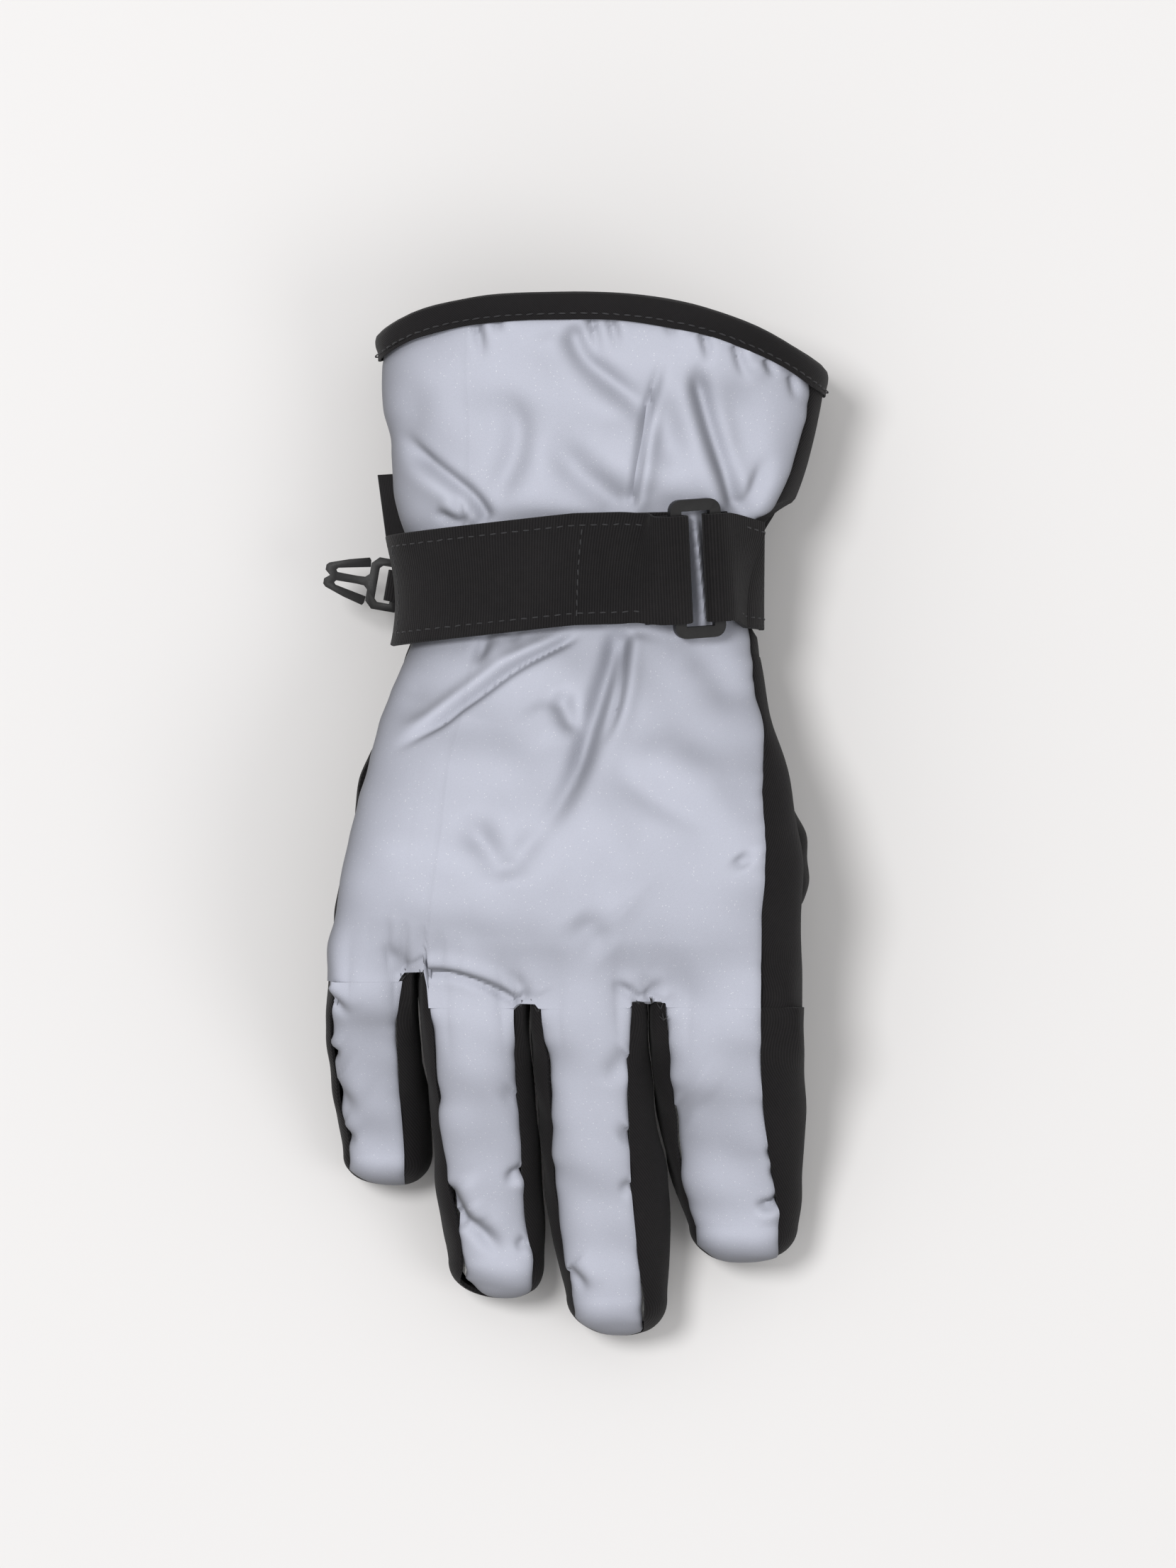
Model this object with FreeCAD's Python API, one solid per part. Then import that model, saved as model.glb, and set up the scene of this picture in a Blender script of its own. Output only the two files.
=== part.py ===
"""Padded ski glove, right hand, lying palm down with its thumb tucked under the palm.

Millimetres, +Z up, +Y towards the cuff, fingers towards -Y, little finger at -X.
The origin is at the middle of the glove's outline, on the surface that it lies on.
"""
import FreeCAD
import Part
import functools
import math
import os

V = FreeCAD.Vector
UP = V(0, 0, 1)

# ---------------------------------------------------------------- driving sizes
SQUARENESS = 2.6          # exponent of the hand's rounded sections, 2 is an ellipse
FINGER_SQUARENESS = 2.4
SECTION_POINTS = 20       # points round one section
MIN_STATION = 0.06        # share of a finger's section left at the very tip
LOFT_DEGREE = 3

# Rings of the hand: (y, left x, right x, lowest z, highest z)
CUFF_HEIGHT = 49.5
CUFF_LEFT, CUFF_RIGHT = -43.8, 56.7
SEAT = -0.6               # the cuff's underside, before it is cut flat at z = 0
MOUTH = (124.0, CUFF_LEFT - 1.2, CUFF_RIGHT + 1.2, 3.0, CUFF_HEIGHT + 1.0)
RIM = (105.0, CUFF_LEFT, CUFF_RIGHT, SEAT, CUFF_HEIGHT)
CUFF = (80.0, -41.4, 52.6, SEAT, 46.5)
WRIST = (50.0, -35.8, 41.0, 5.0, 42.5)
PALM = (-10.0, -51.0, 51.8, 23.5, 60.0)
KNUCKLE = (-47.0, -56.4, 51.6, 18.0, 48.5)
STATIONS_BETWEEN = 2

# Layers, measured inwards from the outer face
SHELL = 0.9               # face fabric
LAYER_GAP = 0.2           # clearance between layers
HAND_PADDING = 3.0
FINGER_PADDING = 2.3
MEMBRANE = 0.3            # waterproof insert
LINING = 1.0              # brushed lining
SEAM_GAP = 0.2            # clearance between two panels at a seam
BODY_GAP = 0.35           # clearance between pieces that move apart

# Cuff mouth, an arc seen from above
MOUTH_LEFT = (-44.5, 104.5)
MOUTH_TOP = (3.0, 118.8)
MOUTH_RIGHT = (58.4, 97.0)
BINDING_DEPTH = 6.4
BINDING_WALL = 0.9
BINDING_EDGE = 1.3        # tape in front of the layers' ends

# Panels of the hand
BACK_SEAM_RIGHT = 43.0    # x of the seam between the back and the index side
BACK_SEAM_CUFF = 53.5     # the same seam at the cuff
BACK_SEAM_WRIST = 41.0
GUSSET_TOP = 36.0         # y where the cuff gusset meets the index side panel
SIDE_DROP = 9.0           # the side panels reach this far below mid height

# Fingers: base y, base left and right x, base low and high z, tip y, tip x, tip width, tip top
FINGERS = {
    "pinky": dict(base=-37.0, left=-56.2, right=-34.2, low=18.5, high=45.0,
                  tip=-84.3, tip_x=-40.9, tip_width=18.6, tip_high=19.5, wall=6.0),
    "ring": dict(base=-43.0, left=-33.1, right=-7.3, low=18.2, high=47.5,
                 tip=-110.3, tip_x=-16.2, tip_width=24.0, tip_high=22.5, wall=7.4),
    "middle": dict(base=-43.0, left=-6.3, right=21.3, low=18.0, high=48.5,
                   tip=-118.8, tip_x=9.9, tip_width=24.2, tip_high=23.5, wall=8.6),
    "index": dict(base=-43.0, left=22.3, right=52.2, low=18.0, high=47.0,
                  tip=-102.1, tip_x=38.9, tip_width=25.0, tip_high=23.0, wall=9.6),
}
TIP_LOW = 0.2             # lowest point of the fingertips and the thumb
TIP_ROUND = 14.0          # length of the rounded tip
PALM_SHARE = 0.3          # share of the finger's height that the palm-side piece takes

# Thumb, folded under the palm: root plane x, centre y, half width, top z, then its tip
THUMB_ROOT_X = 36.0
THUMB_ROOT = dict(y=-10.0, half=14.0, high=24.0)
THUMB_TIP_X = 1.0
THUMB_TIP = dict(y=-25.0, half=11.5, high=20.5)
THUMB_ROUND = 13.0
BULGE_X = 53.7            # the thumb's root stands out this far on the index side
POUCH_RISE = 5.0          # the pouch's walls run on up into the palm
POUCH_OPEN = 16.0         # and its inside runs on further, so that its top is open

# Wrist strap, on centre points seen from above
STRAP_LINE = [(-47.0, 50.9), (0.0, 56.0), (24.0, 56.6), (41.0, 55.0), (48.0, 54.4)]
STRAP_HALF = 12.6
STRAP_LEFT = -41.6        # the flap's free end, on the little finger's side
STRAP_TILT = 4.5          # degrees, the ring and the strap's end lean left at the top
BASE_LEVEL = (0.3, 1.6)   # strap layers, above the hand's outer face
LOOP_LEVEL = (1.7, 2.3)
HOOK_LEVEL = (2.65, 3.25)
FLAP_LEVEL = (3.35, 4.95)
TAB_LEVEL = (1.2, 2.8)
FLAP_END_Z = 26.0         # how far down the little finger's side the strap reaches
TAB_END_Z = 18.0
PATCH_INSET = 2.6
HOOK_SPAN = (-35.0, -8.0)
LOOP_SPAN = (-35.0, 12.0)

# Flat plastic ring on the strap
RING_X, RING_Y = 27.8, 56.2
RING_LEVEL = 5.3          # its mid height above the hand
RING_LEAN = 16.4          # degrees, it follows the fall of the back
RING_PITCH = 6.0          # degrees, its cuff end is higher
RING_WIDTH, RING_LENGTH = 11.9, 31.4
RING_BAR = 2.6
RING_END = 3.2
RING_THICK = 2.2
RING_ROUND = 2.4
FOLD_CLEAR = 0.3          # between a bar's corner and the fold round it
FOLD_WALL = 1.2
FOLD_SHORT = 0.3          # the folds stop this far inside the slot's ends

# Joining clip, its webbing loop, and the side label
CLIP_EYE = V(-40.6, 52.6, 20.0)
CLIP_TURN = 10.0          # degrees, its point is turned towards the cuff
CLIP_THICK = 1.8
CLIP_BAR = 1.6
EYE_HALF = 5.95
EYE_SLOT = (0.8, 4.2)     # from the bar's axis outwards
EYE_END = 6.3
LOOP_WALL = 0.7
LOOP_HALF = 3.6
LABEL_Z = 22.0
LABEL_THICK = 0.8

# Elastic across the palm side of the wrist
ELASTIC_Y = (49.0, 60.0)
ELASTIC_THICK = 0.9

FAR = 200.0               # beyond the glove on every side
DEEP = 90.0               # taller than the glove


# ---------------------------------------------------------------- small helpers
def polygon(points, z0, z1):
    """A prism from z0 to z1 over an outline seen from above."""
    corners = [V(x, y, z0) for x, y in points]
    wire = Part.makePolygon(corners + [corners[0]])
    return Part.Face(wire).extrude(V(0, 0, z1 - z0))


def slab(x0, x1, y0, y1, z0, z1):
    return Part.makeBox(x1 - x0, y1 - y0, z1 - z0, V(x0, y0, z0))


def largest(shape):
    """The main solid of a cut, without slivers."""
    if not shape.Solids:
        raise ValueError("a cut left no solid")
    return max(shape.Solids, key=lambda solid: solid.Volume)


def signed_power(value, power):
    return math.copysign(abs(value) ** power, value)


def section(centre, half, squareness, place):
    """A closed rounded section; place maps its (across, height) to a point."""
    points = []
    for i in range(SECTION_POINTS):
        turn = 2 * math.pi * (i + 0.5) / SECTION_POINTS
        across = centre[0] + half[0] * signed_power(math.cos(turn), 2 / squareness)
        height = centre[1] + half[1] * signed_power(math.sin(turn), 2 / squareness)
        points.append(place(across, height))
    curve = Part.BSplineCurve()
    curve.interpolate(points, PeriodicFlag=True)
    return Part.Wire(curve.toShape())


def ease(share):
    return share * share * (3 - 2 * share)


def mix(a, b, share):
    return tuple(p + (q - p) * share for p, q in zip(a, b))


# ---------------------------------------------------------------- hand
def hand_rings():
    """Key rings with eased ones between them, from the mouth to the knuckles."""
    keys = [MOUTH, RIM, CUFF, WRIST, PALM, KNUCKLE]
    rings = [keys[0]]
    for first, second in zip(keys, keys[1:]):
        for step in range(1, STATIONS_BETWEEN + 2):
            share = step / (STATIONS_BETWEEN + 1)
            eased = mix(first, second, ease(share))
            rings.append((first[0] + (second[0] - first[0]) * share,) + eased[1:])
    return rings


def hand_ring_at(y):
    """The hand's ring at y, for pieces that lie on it."""
    rings = hand_rings()
    for first, second in zip(rings, rings[1:]):
        if second[0] <= y <= first[0]:
            share = (first[0] - y) / (first[0] - second[0])
            return mix(first, second, share)
    raise ValueError("y is off the hand")


def hand_height(x, y):
    """Height of the back of the hand over a point."""
    _, left, right, low, high = hand_ring_at(y)
    share = abs(x - (left + right) / 2) / ((right - left) / 2)
    rise = (1 - share ** SQUARENESS) ** (1 / SQUARENESS)
    return (low + high) / 2 + (high - low) / 2 * rise


@functools.cache
def hand_solid(inset):
    """The hand's outer form, drawn in by inset; a negative inset stands proud."""
    wires = []
    for y, left, right, low, high in hand_rings():
        centre = ((left + right) / 2, (low + high) / 2)
        half = ((right - left) / 2 - inset, (high - low) / 2 - inset)
        wires.append(section(centre, half, SQUARENESS, lambda a, h, y=y: V(a, y, h)))
    return Part.makeLoft(wires, True, False, False, LOFT_DEGREE)


def mouth_region(back):
    """All that lies behind the cuff's mouth, moved back from it."""
    left, top, right = (V(x, y - back, -DEEP) for x, y in (MOUTH_LEFT, MOUTH_TOP, MOUTH_RIGHT))
    corner_left = V(-FAR, left.y, -DEEP)
    corner_right = V(FAR, right.y, -DEEP)
    edges = [Part.Arc(left, top, right).toShape(),
             Part.makeLine(right, corner_right),
             Part.makeLine(corner_right, V(FAR, -FAR, -DEEP)),
             Part.makeLine(V(FAR, -FAR, -DEEP), V(-FAR, -FAR, -DEEP)),
             Part.makeLine(V(-FAR, -FAR, -DEEP), corner_left),
             Part.makeLine(corner_left, left)]
    return Part.Face(Part.Wire(edges)).extrude(V(0, 0, 2 * DEEP))


def hand_trim():
    """The hand's length: from behind the mouth to the finger roots."""
    region = mouth_region(BINDING_EDGE)
    pinky_edge = FINGERS["ring"]["left"]
    roots = FINGERS["ring"]["base"]
    region = region.cut(slab(-FAR, FAR, -FAR, roots, -DEEP, DEEP))
    step = slab(-FAR, pinky_edge, roots - 1, FINGERS["pinky"]["base"], -DEEP, DEEP)
    return region.cut(step)


def corner_prism(rows, grow):
    """A region left of x and above z, following rows of (y, x, z)."""
    wires = []
    for y, x, z in rows:
        corners = [V(-FAR, y, z - grow), V(x + grow, y, z - grow),
                   V(x + grow, y, DEEP), V(-FAR, y, DEEP)]
        wires.append(Part.makePolygon(corners + [corners[0]]))
    return Part.makeLoft(wires, True, True)


def back_rows():
    """The back panel's edges on the hand: right seam and lower edge on the left."""
    seam = {MOUTH[0]: BACK_SEAM_CUFF + 2, RIM[0]: BACK_SEAM_CUFF, CUFF[0]: BACK_SEAM_CUFF - 4,
            WRIST[0]: BACK_SEAM_WRIST - 3, PALM[0]: BACK_SEAM_RIGHT,
            KNUCKLE[0]: BACK_SEAM_RIGHT}
    rows = []
    for y, x in seam.items():
        ring = hand_ring_at(y)
        rows.append((y, x, (ring[3] + ring[4]) / 2 - 1.0))
    return rows


def side_prism(grow):
    """Everything above the side panels' lower edge."""
    wires = []
    for y in (MOUTH[0], RIM[0], CUFF[0], WRIST[0], PALM[0], KNUCKLE[0]):
        ring = hand_ring_at(y)
        z = (ring[3] + ring[4]) / 2 - SIDE_DROP - grow
        corners = [V(0, y, z), V(FAR, y, z), V(FAR, y, DEEP), V(0, y, DEEP)]
        wires.append(Part.makePolygon(corners + [corners[0]]))
    return Part.makeLoft(wires, True, True)


# ---------------------------------------------------------------- thumb root
def thumb_root_solid(inset, rise=POUCH_RISE):
    """The thumb's root, a pouch on the index side of the palm; rise opens its top."""
    rows = [(BULGE_X, -12.0, 3.0, 17.0, 25.0), (BULGE_X - 1.2, -11.0, 9.0, 10.0, 31.0),
            (BULGE_X - 4.2, -9.5, 13.0, 4.5, 33.5), (44.0, -8.5, 15.0, 1.2, 32.0),
            (THUMB_ROOT_X, -9.5, THUMB_ROOT["half"] + 0.3, TIP_LOW + 0.3, 28.0),
            (THUMB_ROOT_X - 6, -10.5, THUMB_ROOT["half"] + 0.3, TIP_LOW + 0.3, 26.5)]
    wires = []
    for number, (x, y, half, low, high) in enumerate(rows):
        depth = inset if number > 1 else inset * 0.6
        lift = rise / 2 if number > 1 else 0.0
        centre = (y, (low + high) / 2 + lift)
        halves = (half - depth, (high - low) / 2 + lift - depth)
        plane_x = x - (inset if number < 3 else 0.0)
        wires.append(section(centre, halves, FINGER_SQUARENESS,
                             lambda a, h, px=plane_x: V(px, a, h)))
    return Part.makeLoft(wires, True, False, False, LOFT_DEGREE)


# ---------------------------------------------------------------- fingers and thumb
def pod(start, end, round_length, inset, place):
    """A finger form from start to a rounded end; rows are (s, centre, half, low, high)."""
    reach = end["s"] - inset
    straight = end["s"] - round_length
    run = reach - straight
    stations = [-3.0, 0.0, straight / 3, 2 * straight / 3, straight]
    stations += [straight + run * math.sin(math.radians(turn)) for turn in (25, 45, 62, 75, 84)]
    wires = []
    for s in stations + [reach]:
        share = s / end["s"]
        drop = min(1.0, s / straight)
        past = max(0.0, (s - straight) / run)
        size = max(MIN_STATION, math.sqrt(max(0.0, 1 - past * past)))
        low = start["low"] + (end["low"] - start["low"]) * drop
        high = start["high"] + (end["high"] - start["high"]) * drop
        half = start["half"] + (end["half"] - start["half"]) * share
        across = start["across"] + (end["across"] - start["across"]) * share
        height = (high - low) / 2 - inset
        sink = (1 - size) * height * 0.35
        wires.append(section((across, (low + high) / 2 - sink),
                             ((half - inset) * size, height * size),
                             FINGER_SQUARENESS, lambda a, h, s=s: place(s, a, h)))
    return Part.makeLoft(wires, True, False, False, LOFT_DEGREE)


def finger_ends(size):
    start = dict(across=(size["left"] + size["right"]) / 2,
                 half=(size["right"] - size["left"]) / 2, low=size["low"], high=size["high"])
    end = dict(s=size["base"] - size["tip"], across=size["tip_x"], half=size["tip_width"] / 2,
               low=TIP_LOW, high=size["tip_high"])
    return start, end


def finger_solid(size, inset):
    start, end = finger_ends(size)
    form = pod(start, end, TIP_ROUND, inset, lambda s, a, h: V(a, size["base"] - s, h))
    root = size["base"] - BODY_GAP
    return form.cut(slab(-FAR, FAR, root, FAR, -DEEP, DEEP))


def finger_line(size, share):
    """Left x, right x, low z and high z of a finger at a share of its length."""
    start, end = finger_ends(size)
    across = start["across"] + (end["across"] - start["across"]) * share
    half = start["half"] + (end["half"] - start["half"]) * share
    low = start["low"] + (end["low"] - start["low"]) * share
    high = start["high"] + (end["high"] - start["high"]) * share
    return across - half, across + half, low, high


def thumb_solid(inset):
    start = dict(across=THUMB_ROOT["y"], half=THUMB_ROOT["half"], low=TIP_LOW,
                 high=THUMB_ROOT["high"])
    end = dict(s=THUMB_ROOT_X - THUMB_TIP_X, across=THUMB_TIP["y"], half=THUMB_TIP["half"],
               low=TIP_LOW, high=THUMB_TIP["high"])
    form = pod(start, end, THUMB_ROUND, inset, lambda s, a, h: V(THUMB_ROOT_X - s, a, h))
    return form.cut(slab(THUMB_ROOT_X - BODY_GAP, FAR, -FAR, FAR, -DEEP, DEEP))


def layer_insets(padding):
    """Start and end depth of padding, membrane and lining."""
    depths = {}
    depth = SHELL
    for name, thick in (("insulation", padding), ("membrane", MEMBRANE), ("lining", LINING)):
        depths[name] = (depth + LAYER_GAP, depth + LAYER_GAP + thick)
        depth = depths[name][1]
    return depths


def layers_of(form, padding):
    """The layers inside a form: each is the form at one depth less the form at the next."""
    return {name: largest(form(outer).cut(form(inner)))
            for name, (outer, inner) in layer_insets(padding).items()}


def finger_parts(name, size):
    """The seven pieces of one finger."""
    shell = finger_solid(size, 0.0).cut(finger_solid(size, SHELL))
    rows = {}
    for share, y in ((-0.1, None), (1.1, None)):
        left, right, low, high = finger_line(size, share)
        y = size["base"] - (size["base"] - size["tip"]) * share
        rows[y] = (left, right, low, high)

    def region(grow):
        lines = [(y, right - size["wall"], (low + high) / 2 + 1.0)
                 for y, (left, right, low, high) in rows.items()]
        return corner_prism(lines, grow)

    def below(grow):
        wires = []
        for y, (left, right, low, high) in rows.items():
            z = low + (high - low) * PALM_SHARE + grow
            corners = [V(-FAR, y, -DEEP), V(FAR, y, -DEEP), V(FAR, y, z), V(-FAR, y, z)]
            wires.append(Part.makePolygon(corners + [corners[0]]))
        return Part.makeLoft(wires, True, True)

    def left_half(grow):
        wires = []
        for y, (left, right, low, high) in rows.items():
            x = (left + right) / 2 + grow
            corners = [V(-FAR, y, -DEEP), V(x, y, -DEEP), V(x, y, DEEP), V(-FAR, y, DEEP)]
            wires.append(Part.makePolygon(corners + [corners[0]]))
        return Part.makeLoft(wires, True, True)

    gap = SEAM_GAP / 2
    walls = shell.cut(region(gap)).cut(below(gap))
    parts = {
        name + "_back": largest(shell.common(region(-gap))),
        name + "_palm": largest(shell.common(below(-gap))),
        name + "_side_left": largest(walls.common(left_half(-gap))),
        name + "_side_right": largest(walls.cut(left_half(gap))),
    }
    for layer, solid in layers_of(lambda inset: finger_solid(size, inset),
                                  FINGER_PADDING).items():
        parts[name + "_" + layer] = solid
    return parts


def thumb_parts():
    """The thumb's two shell pieces, its layers, and the pouch that carries it."""
    shell = thumb_solid(0.0).cut(thumb_solid(SHELL))
    middle = (TIP_LOW + THUMB_ROOT["high"]) / 2
    gap = SEAM_GAP / 2
    parts = {
        "thumb_back": largest(shell.common(slab(-FAR, FAR, -FAR, FAR, -DEEP, middle - gap))),
        "thumb_front": largest(shell.common(slab(-FAR, FAR, -FAR, FAR, middle + gap, DEEP))),
    }
    for layer, solid in layers_of(thumb_solid, FINGER_PADDING).items():
        parts["thumb_" + layer] = solid
    pouch = thumb_root_solid(0.0).cut(thumb_root_solid(SHELL, POUCH_OPEN))
    pouch = pouch.cut(slab(-FAR, THUMB_ROOT_X, -FAR, FAR, -DEEP, DEEP))
    inside = hand_solid(SHELL + LAYER_GAP)
    parts["thumb_gusset"] = largest(pouch.cut(inside))
    return parts


def hand_parts():
    """The hand's shell panels, padding, membrane, lining and elastic."""
    trim = hand_trim().cut(slab(-FAR, FAR, -FAR, FAR, -DEEP, 0.0))
    pouch = thumb_root_solid(-LAYER_GAP)
    gap = SEAM_GAP / 2
    shell = hand_solid(0.0).cut(hand_solid(SHELL)).common(trim)
    rows = back_rows()
    rest = shell.cut(corner_prism(rows, gap))
    side = rest.common(side_prism(-gap)).cut(pouch)
    front = slab(-FAR, FAR, -FAR, GUSSET_TOP - gap, -DEEP, DEEP)
    rear = slab(-FAR, FAR, GUSSET_TOP + gap, FAR, -DEEP, DEEP)
    parts = {
        "back_panel": largest(shell.common(corner_prism(rows, -gap))),
        "index_side_panel": largest(side.common(front)),
        "cuff_gusset": largest(side.common(rear)),
        "palm_panel": largest(rest.cut(side_prism(gap)).cut(pouch)),
    }
    inner = trim.cut(pouch)
    depths = layer_insets(HAND_PADDING)
    solids = {name: hand_solid(outer).cut(hand_solid(depth)).common(inner)
              for name, (outer, depth) in depths.items()}
    middle = corner_prism([(y, FAR, z) for y, _, z in rows], gap)
    upper = corner_prism([(y, FAR, z) for y, _, z in rows], -gap)
    start = depths["insulation"][0]
    elastic = hand_solid(start).cut(hand_solid(start + ELASTIC_THICK))
    elastic = elastic.cut(middle)
    band = slab(-FAR, FAR, ELASTIC_Y[0], ELASTIC_Y[1], 0.5, DEEP)
    groove = slab(-FAR, FAR, ELASTIC_Y[0] - LAYER_GAP, ELASTIC_Y[1] + LAYER_GAP, -DEEP, DEEP)
    cutter = hand_solid(SHELL).cut(hand_solid(start + ELASTIC_THICK + LAYER_GAP)).common(groove)
    parts["wrist_elastic"] = largest(elastic.common(band))
    parts["back_insulation"] = largest(solids["insulation"].common(upper))
    parts["palm_insulation"] = largest(solids["insulation"].cut(middle).cut(cutter))
    parts["hand_membrane"] = largest(solids["membrane"])
    parts["hand_lining"] = largest(solids["lining"])
    return parts


def cuff_binding():
    """Tape folded round the mouth: a wall outside, one inside, and the edge between."""
    depth = layer_insets(HAND_PADDING)["lining"][1]
    outside = hand_solid(-LAYER_GAP - BINDING_WALL)
    inside = hand_solid(depth + LAYER_GAP + BINDING_WALL)
    band = mouth_region(0.0).cut(mouth_region(BINDING_DEPTH))
    floor = slab(-FAR, FAR, -FAR, FAR, -DEEP, 0.0)
    tape = outside.cut(inside).common(band).cut(floor)
    filling = hand_solid(-LAYER_GAP).cut(hand_solid(depth + LAYER_GAP))
    filling = filling.common(mouth_region(BINDING_EDGE - LAYER_GAP))
    return largest(tape.cut(filling))


# ---------------------------------------------------------------- strap
def strap_outline(x0, x1, inset):
    """The strap's outline seen from above: a square left end and a leaning right end."""
    lean = math.tan(math.radians(STRAP_TILT))
    half = STRAP_HALF - inset
    inner = [point for point in STRAP_LINE if x0 + 3 < point[0] < x1 - 3]

    def centre(x):
        for (xa, ya), (xb, yb) in zip(STRAP_LINE, STRAP_LINE[1:]):
            if xa <= x <= xb:
                return ya + (yb - ya) * (x - xa) / (xb - xa)
        raise ValueError("x is off the strap")

    low = [(x0, centre(x0) - half)] + [(x, y - half) for x, y in inner]
    low.append((x1 + half * lean, centre(x1) - half))
    high = [(x1 - half * lean, centre(x1) + half)] + [(x, y + half) for x, y in inner[::-1]]
    high.append((x0, centre(x0) + half))
    return low + high


def strap_layer(level, x0, x1, inset, end_z):
    """A strap layer that follows the hand at a level above it."""
    wall = hand_solid(-level[1]).cut(hand_solid(-level[0]))
    return wall.common(polygon(strap_outline(x0, x1, inset), end_z, DEEP))


def ring_place():
    """The ring's own frame: it leans with the strap and falls with the back."""
    height = hand_height(RING_X, RING_Y) + RING_LEVEL / math.cos(math.radians(RING_LEAN))
    fall = FreeCAD.Rotation(V(0, 1, 0), RING_LEAN)
    rise = FreeCAD.Rotation(V(1, 0, 0), RING_PITCH)
    turn = FreeCAD.Rotation(UP, STRAP_TILT).multiply(fall).multiply(rise)
    return FreeCAD.Placement(V(RING_X, RING_Y, height), turn)


BAR_OFFSET = (RING_WIDTH - RING_BAR) / 2
FOLD_INNER = math.hypot(RING_BAR, RING_THICK) / 2 + FOLD_CLEAR
FOLD_OUTER = FOLD_INNER + FOLD_WALL
FOLD_LENGTH = RING_LENGTH - 2 * RING_END - 2 * FOLD_SHORT


def bar_cylinder(side, radius, length):
    """A cylinder round the ring's left (-1) or right (1) bar."""
    rod = Part.makeCylinder(radius, length, V(side * BAR_OFFSET, -length / 2, 0), V(0, 1, 0))
    rod.Placement = ring_place().multiply(rod.Placement)
    return rod


def ring_buckle():
    block = Part.makeBox(RING_WIDTH, RING_LENGTH, RING_THICK,
                         V(-RING_WIDTH / 2, -RING_LENGTH / 2, -RING_THICK / 2))
    upright = [edge for edge in block.Edges
               if abs(edge.Vertexes[0].X - edge.Vertexes[1].X) < 1e-6
               and abs(edge.Vertexes[0].Y - edge.Vertexes[1].Y) < 1e-6]
    block = block.makeFillet(RING_ROUND, upright)
    slot = Part.makeBox(RING_WIDTH - 2 * RING_BAR, RING_LENGTH - 2 * RING_END, DEEP,
                        V(RING_BAR - RING_WIDTH / 2, RING_END - RING_LENGTH / 2, -DEEP / 2))
    ring = block.cut(slot)
    ring.Placement = ring_place().multiply(ring.Placement)
    return ring


def bar_x(side):
    return ring_place().multVec(V(side * BAR_OFFSET, 0, 0)).x


def fold(side):
    """The strap's fold round one bar of the ring."""
    sleeve = bar_cylinder(side, FOLD_OUTER, FOLD_LENGTH)
    return sleeve.cut(bar_cylinder(side, FOLD_INNER, 2 * FOLD_LENGTH))


def strap_parts():
    """Strap, closure patches, ring and the tab that holds the ring."""
    bar = bar_x(-1)
    room = bar_cylinder(-1, FOLD_OUTER + BODY_GAP, FOLD_LENGTH + 8)
    base = strap_layer(BASE_LEVEL, STRAP_LEFT, bar - 1.0, 0.4, FLAP_END_Z - 1.5).cut(room)
    loops = strap_layer(LOOP_LEVEL, LOOP_SPAN[0], LOOP_SPAN[1], PATCH_INSET, FLAP_END_Z)
    hooks = strap_layer(HOOK_LEVEL, HOOK_SPAN[0], HOOK_SPAN[1], PATCH_INSET, FLAP_END_Z)
    flap = strap_layer(FLAP_LEVEL, STRAP_LEFT, bar, 0.0, FLAP_END_Z)
    sides = bar_cylinder(-1, FOLD_OUTER + 2.0, FOLD_LENGTH)
    ends = bar_cylinder(-1, FOLD_OUTER + 2.0, 2 * FOLD_LENGTH).cut(sides)
    flap = flap.cut(bar_cylinder(-1, FOLD_INNER, 2 * FOLD_LENGTH)).cut(ends).fuse(fold(-1))
    tab = strap_layer(TAB_LEVEL, bar_x(1) + 1.0, 47.9, 0.4, TAB_END_Z)
    tab_room = bar_cylinder(1, FOLD_INNER, 2 * FOLD_LENGTH)
    tab = tab.cut(tab_room).fuse(fold(1))
    return {
        "strap_base": largest(base), "loop_patch": largest(loops),
        "hook_patch": largest(hooks), "strap_flap": largest(flap),
        "ring_tab": largest(tab), "ring_buckle": ring_buckle(),
    }


# ---------------------------------------------------------------- clip and label
def clip_place():
    """The clip's own frame: u runs outwards from the eye's bar, v towards the cuff."""
    turn = FreeCAD.Rotation(UP, 180 - CLIP_TURN)
    return FreeCAD.Placement(CLIP_EYE, turn)


def joining_clip():
    """A flat hook: an arrow head with two barbs on a stem, and an eye for webbing."""
    tip = EYE_END + 10.1
    half = [(tip - 1.2, 0.0), (tip, 1.0), (tip, 2.2), (tip - 0.6, 2.8), (6.9, 5.5), (6.5, 4.9),
            (6.2, 3.0), (tip - 2.8, 1.95), (tip - 2.4, 1.45), (tip - 2.8, 0.95),
            (EYE_END - 0.2, 0.95)]
    outline = half + [(u, -v) for u, v in half[:0:-1]]
    head = polygon(outline, -CLIP_THICK / 2, CLIP_THICK / 2)
    back = -CLIP_BAR / 2
    cut = 1.6
    eye = polygon([(back, -EYE_HALF), (EYE_END - cut, -EYE_HALF), (EYE_END, cut - EYE_HALF),
                   (EYE_END, EYE_HALF - cut), (EYE_END - cut, EYE_HALF), (back, EYE_HALF)],
                  -CLIP_THICK / 2, CLIP_THICK / 2)
    slot = slab(EYE_SLOT[0], EYE_SLOT[1], 1.75 - EYE_HALF, EYE_HALF - 1.75, -CLIP_THICK,
                CLIP_THICK)
    clip = head.fuse(eye.cut(slot))
    clip.Placement = clip_place()
    return largest(clip)


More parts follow.
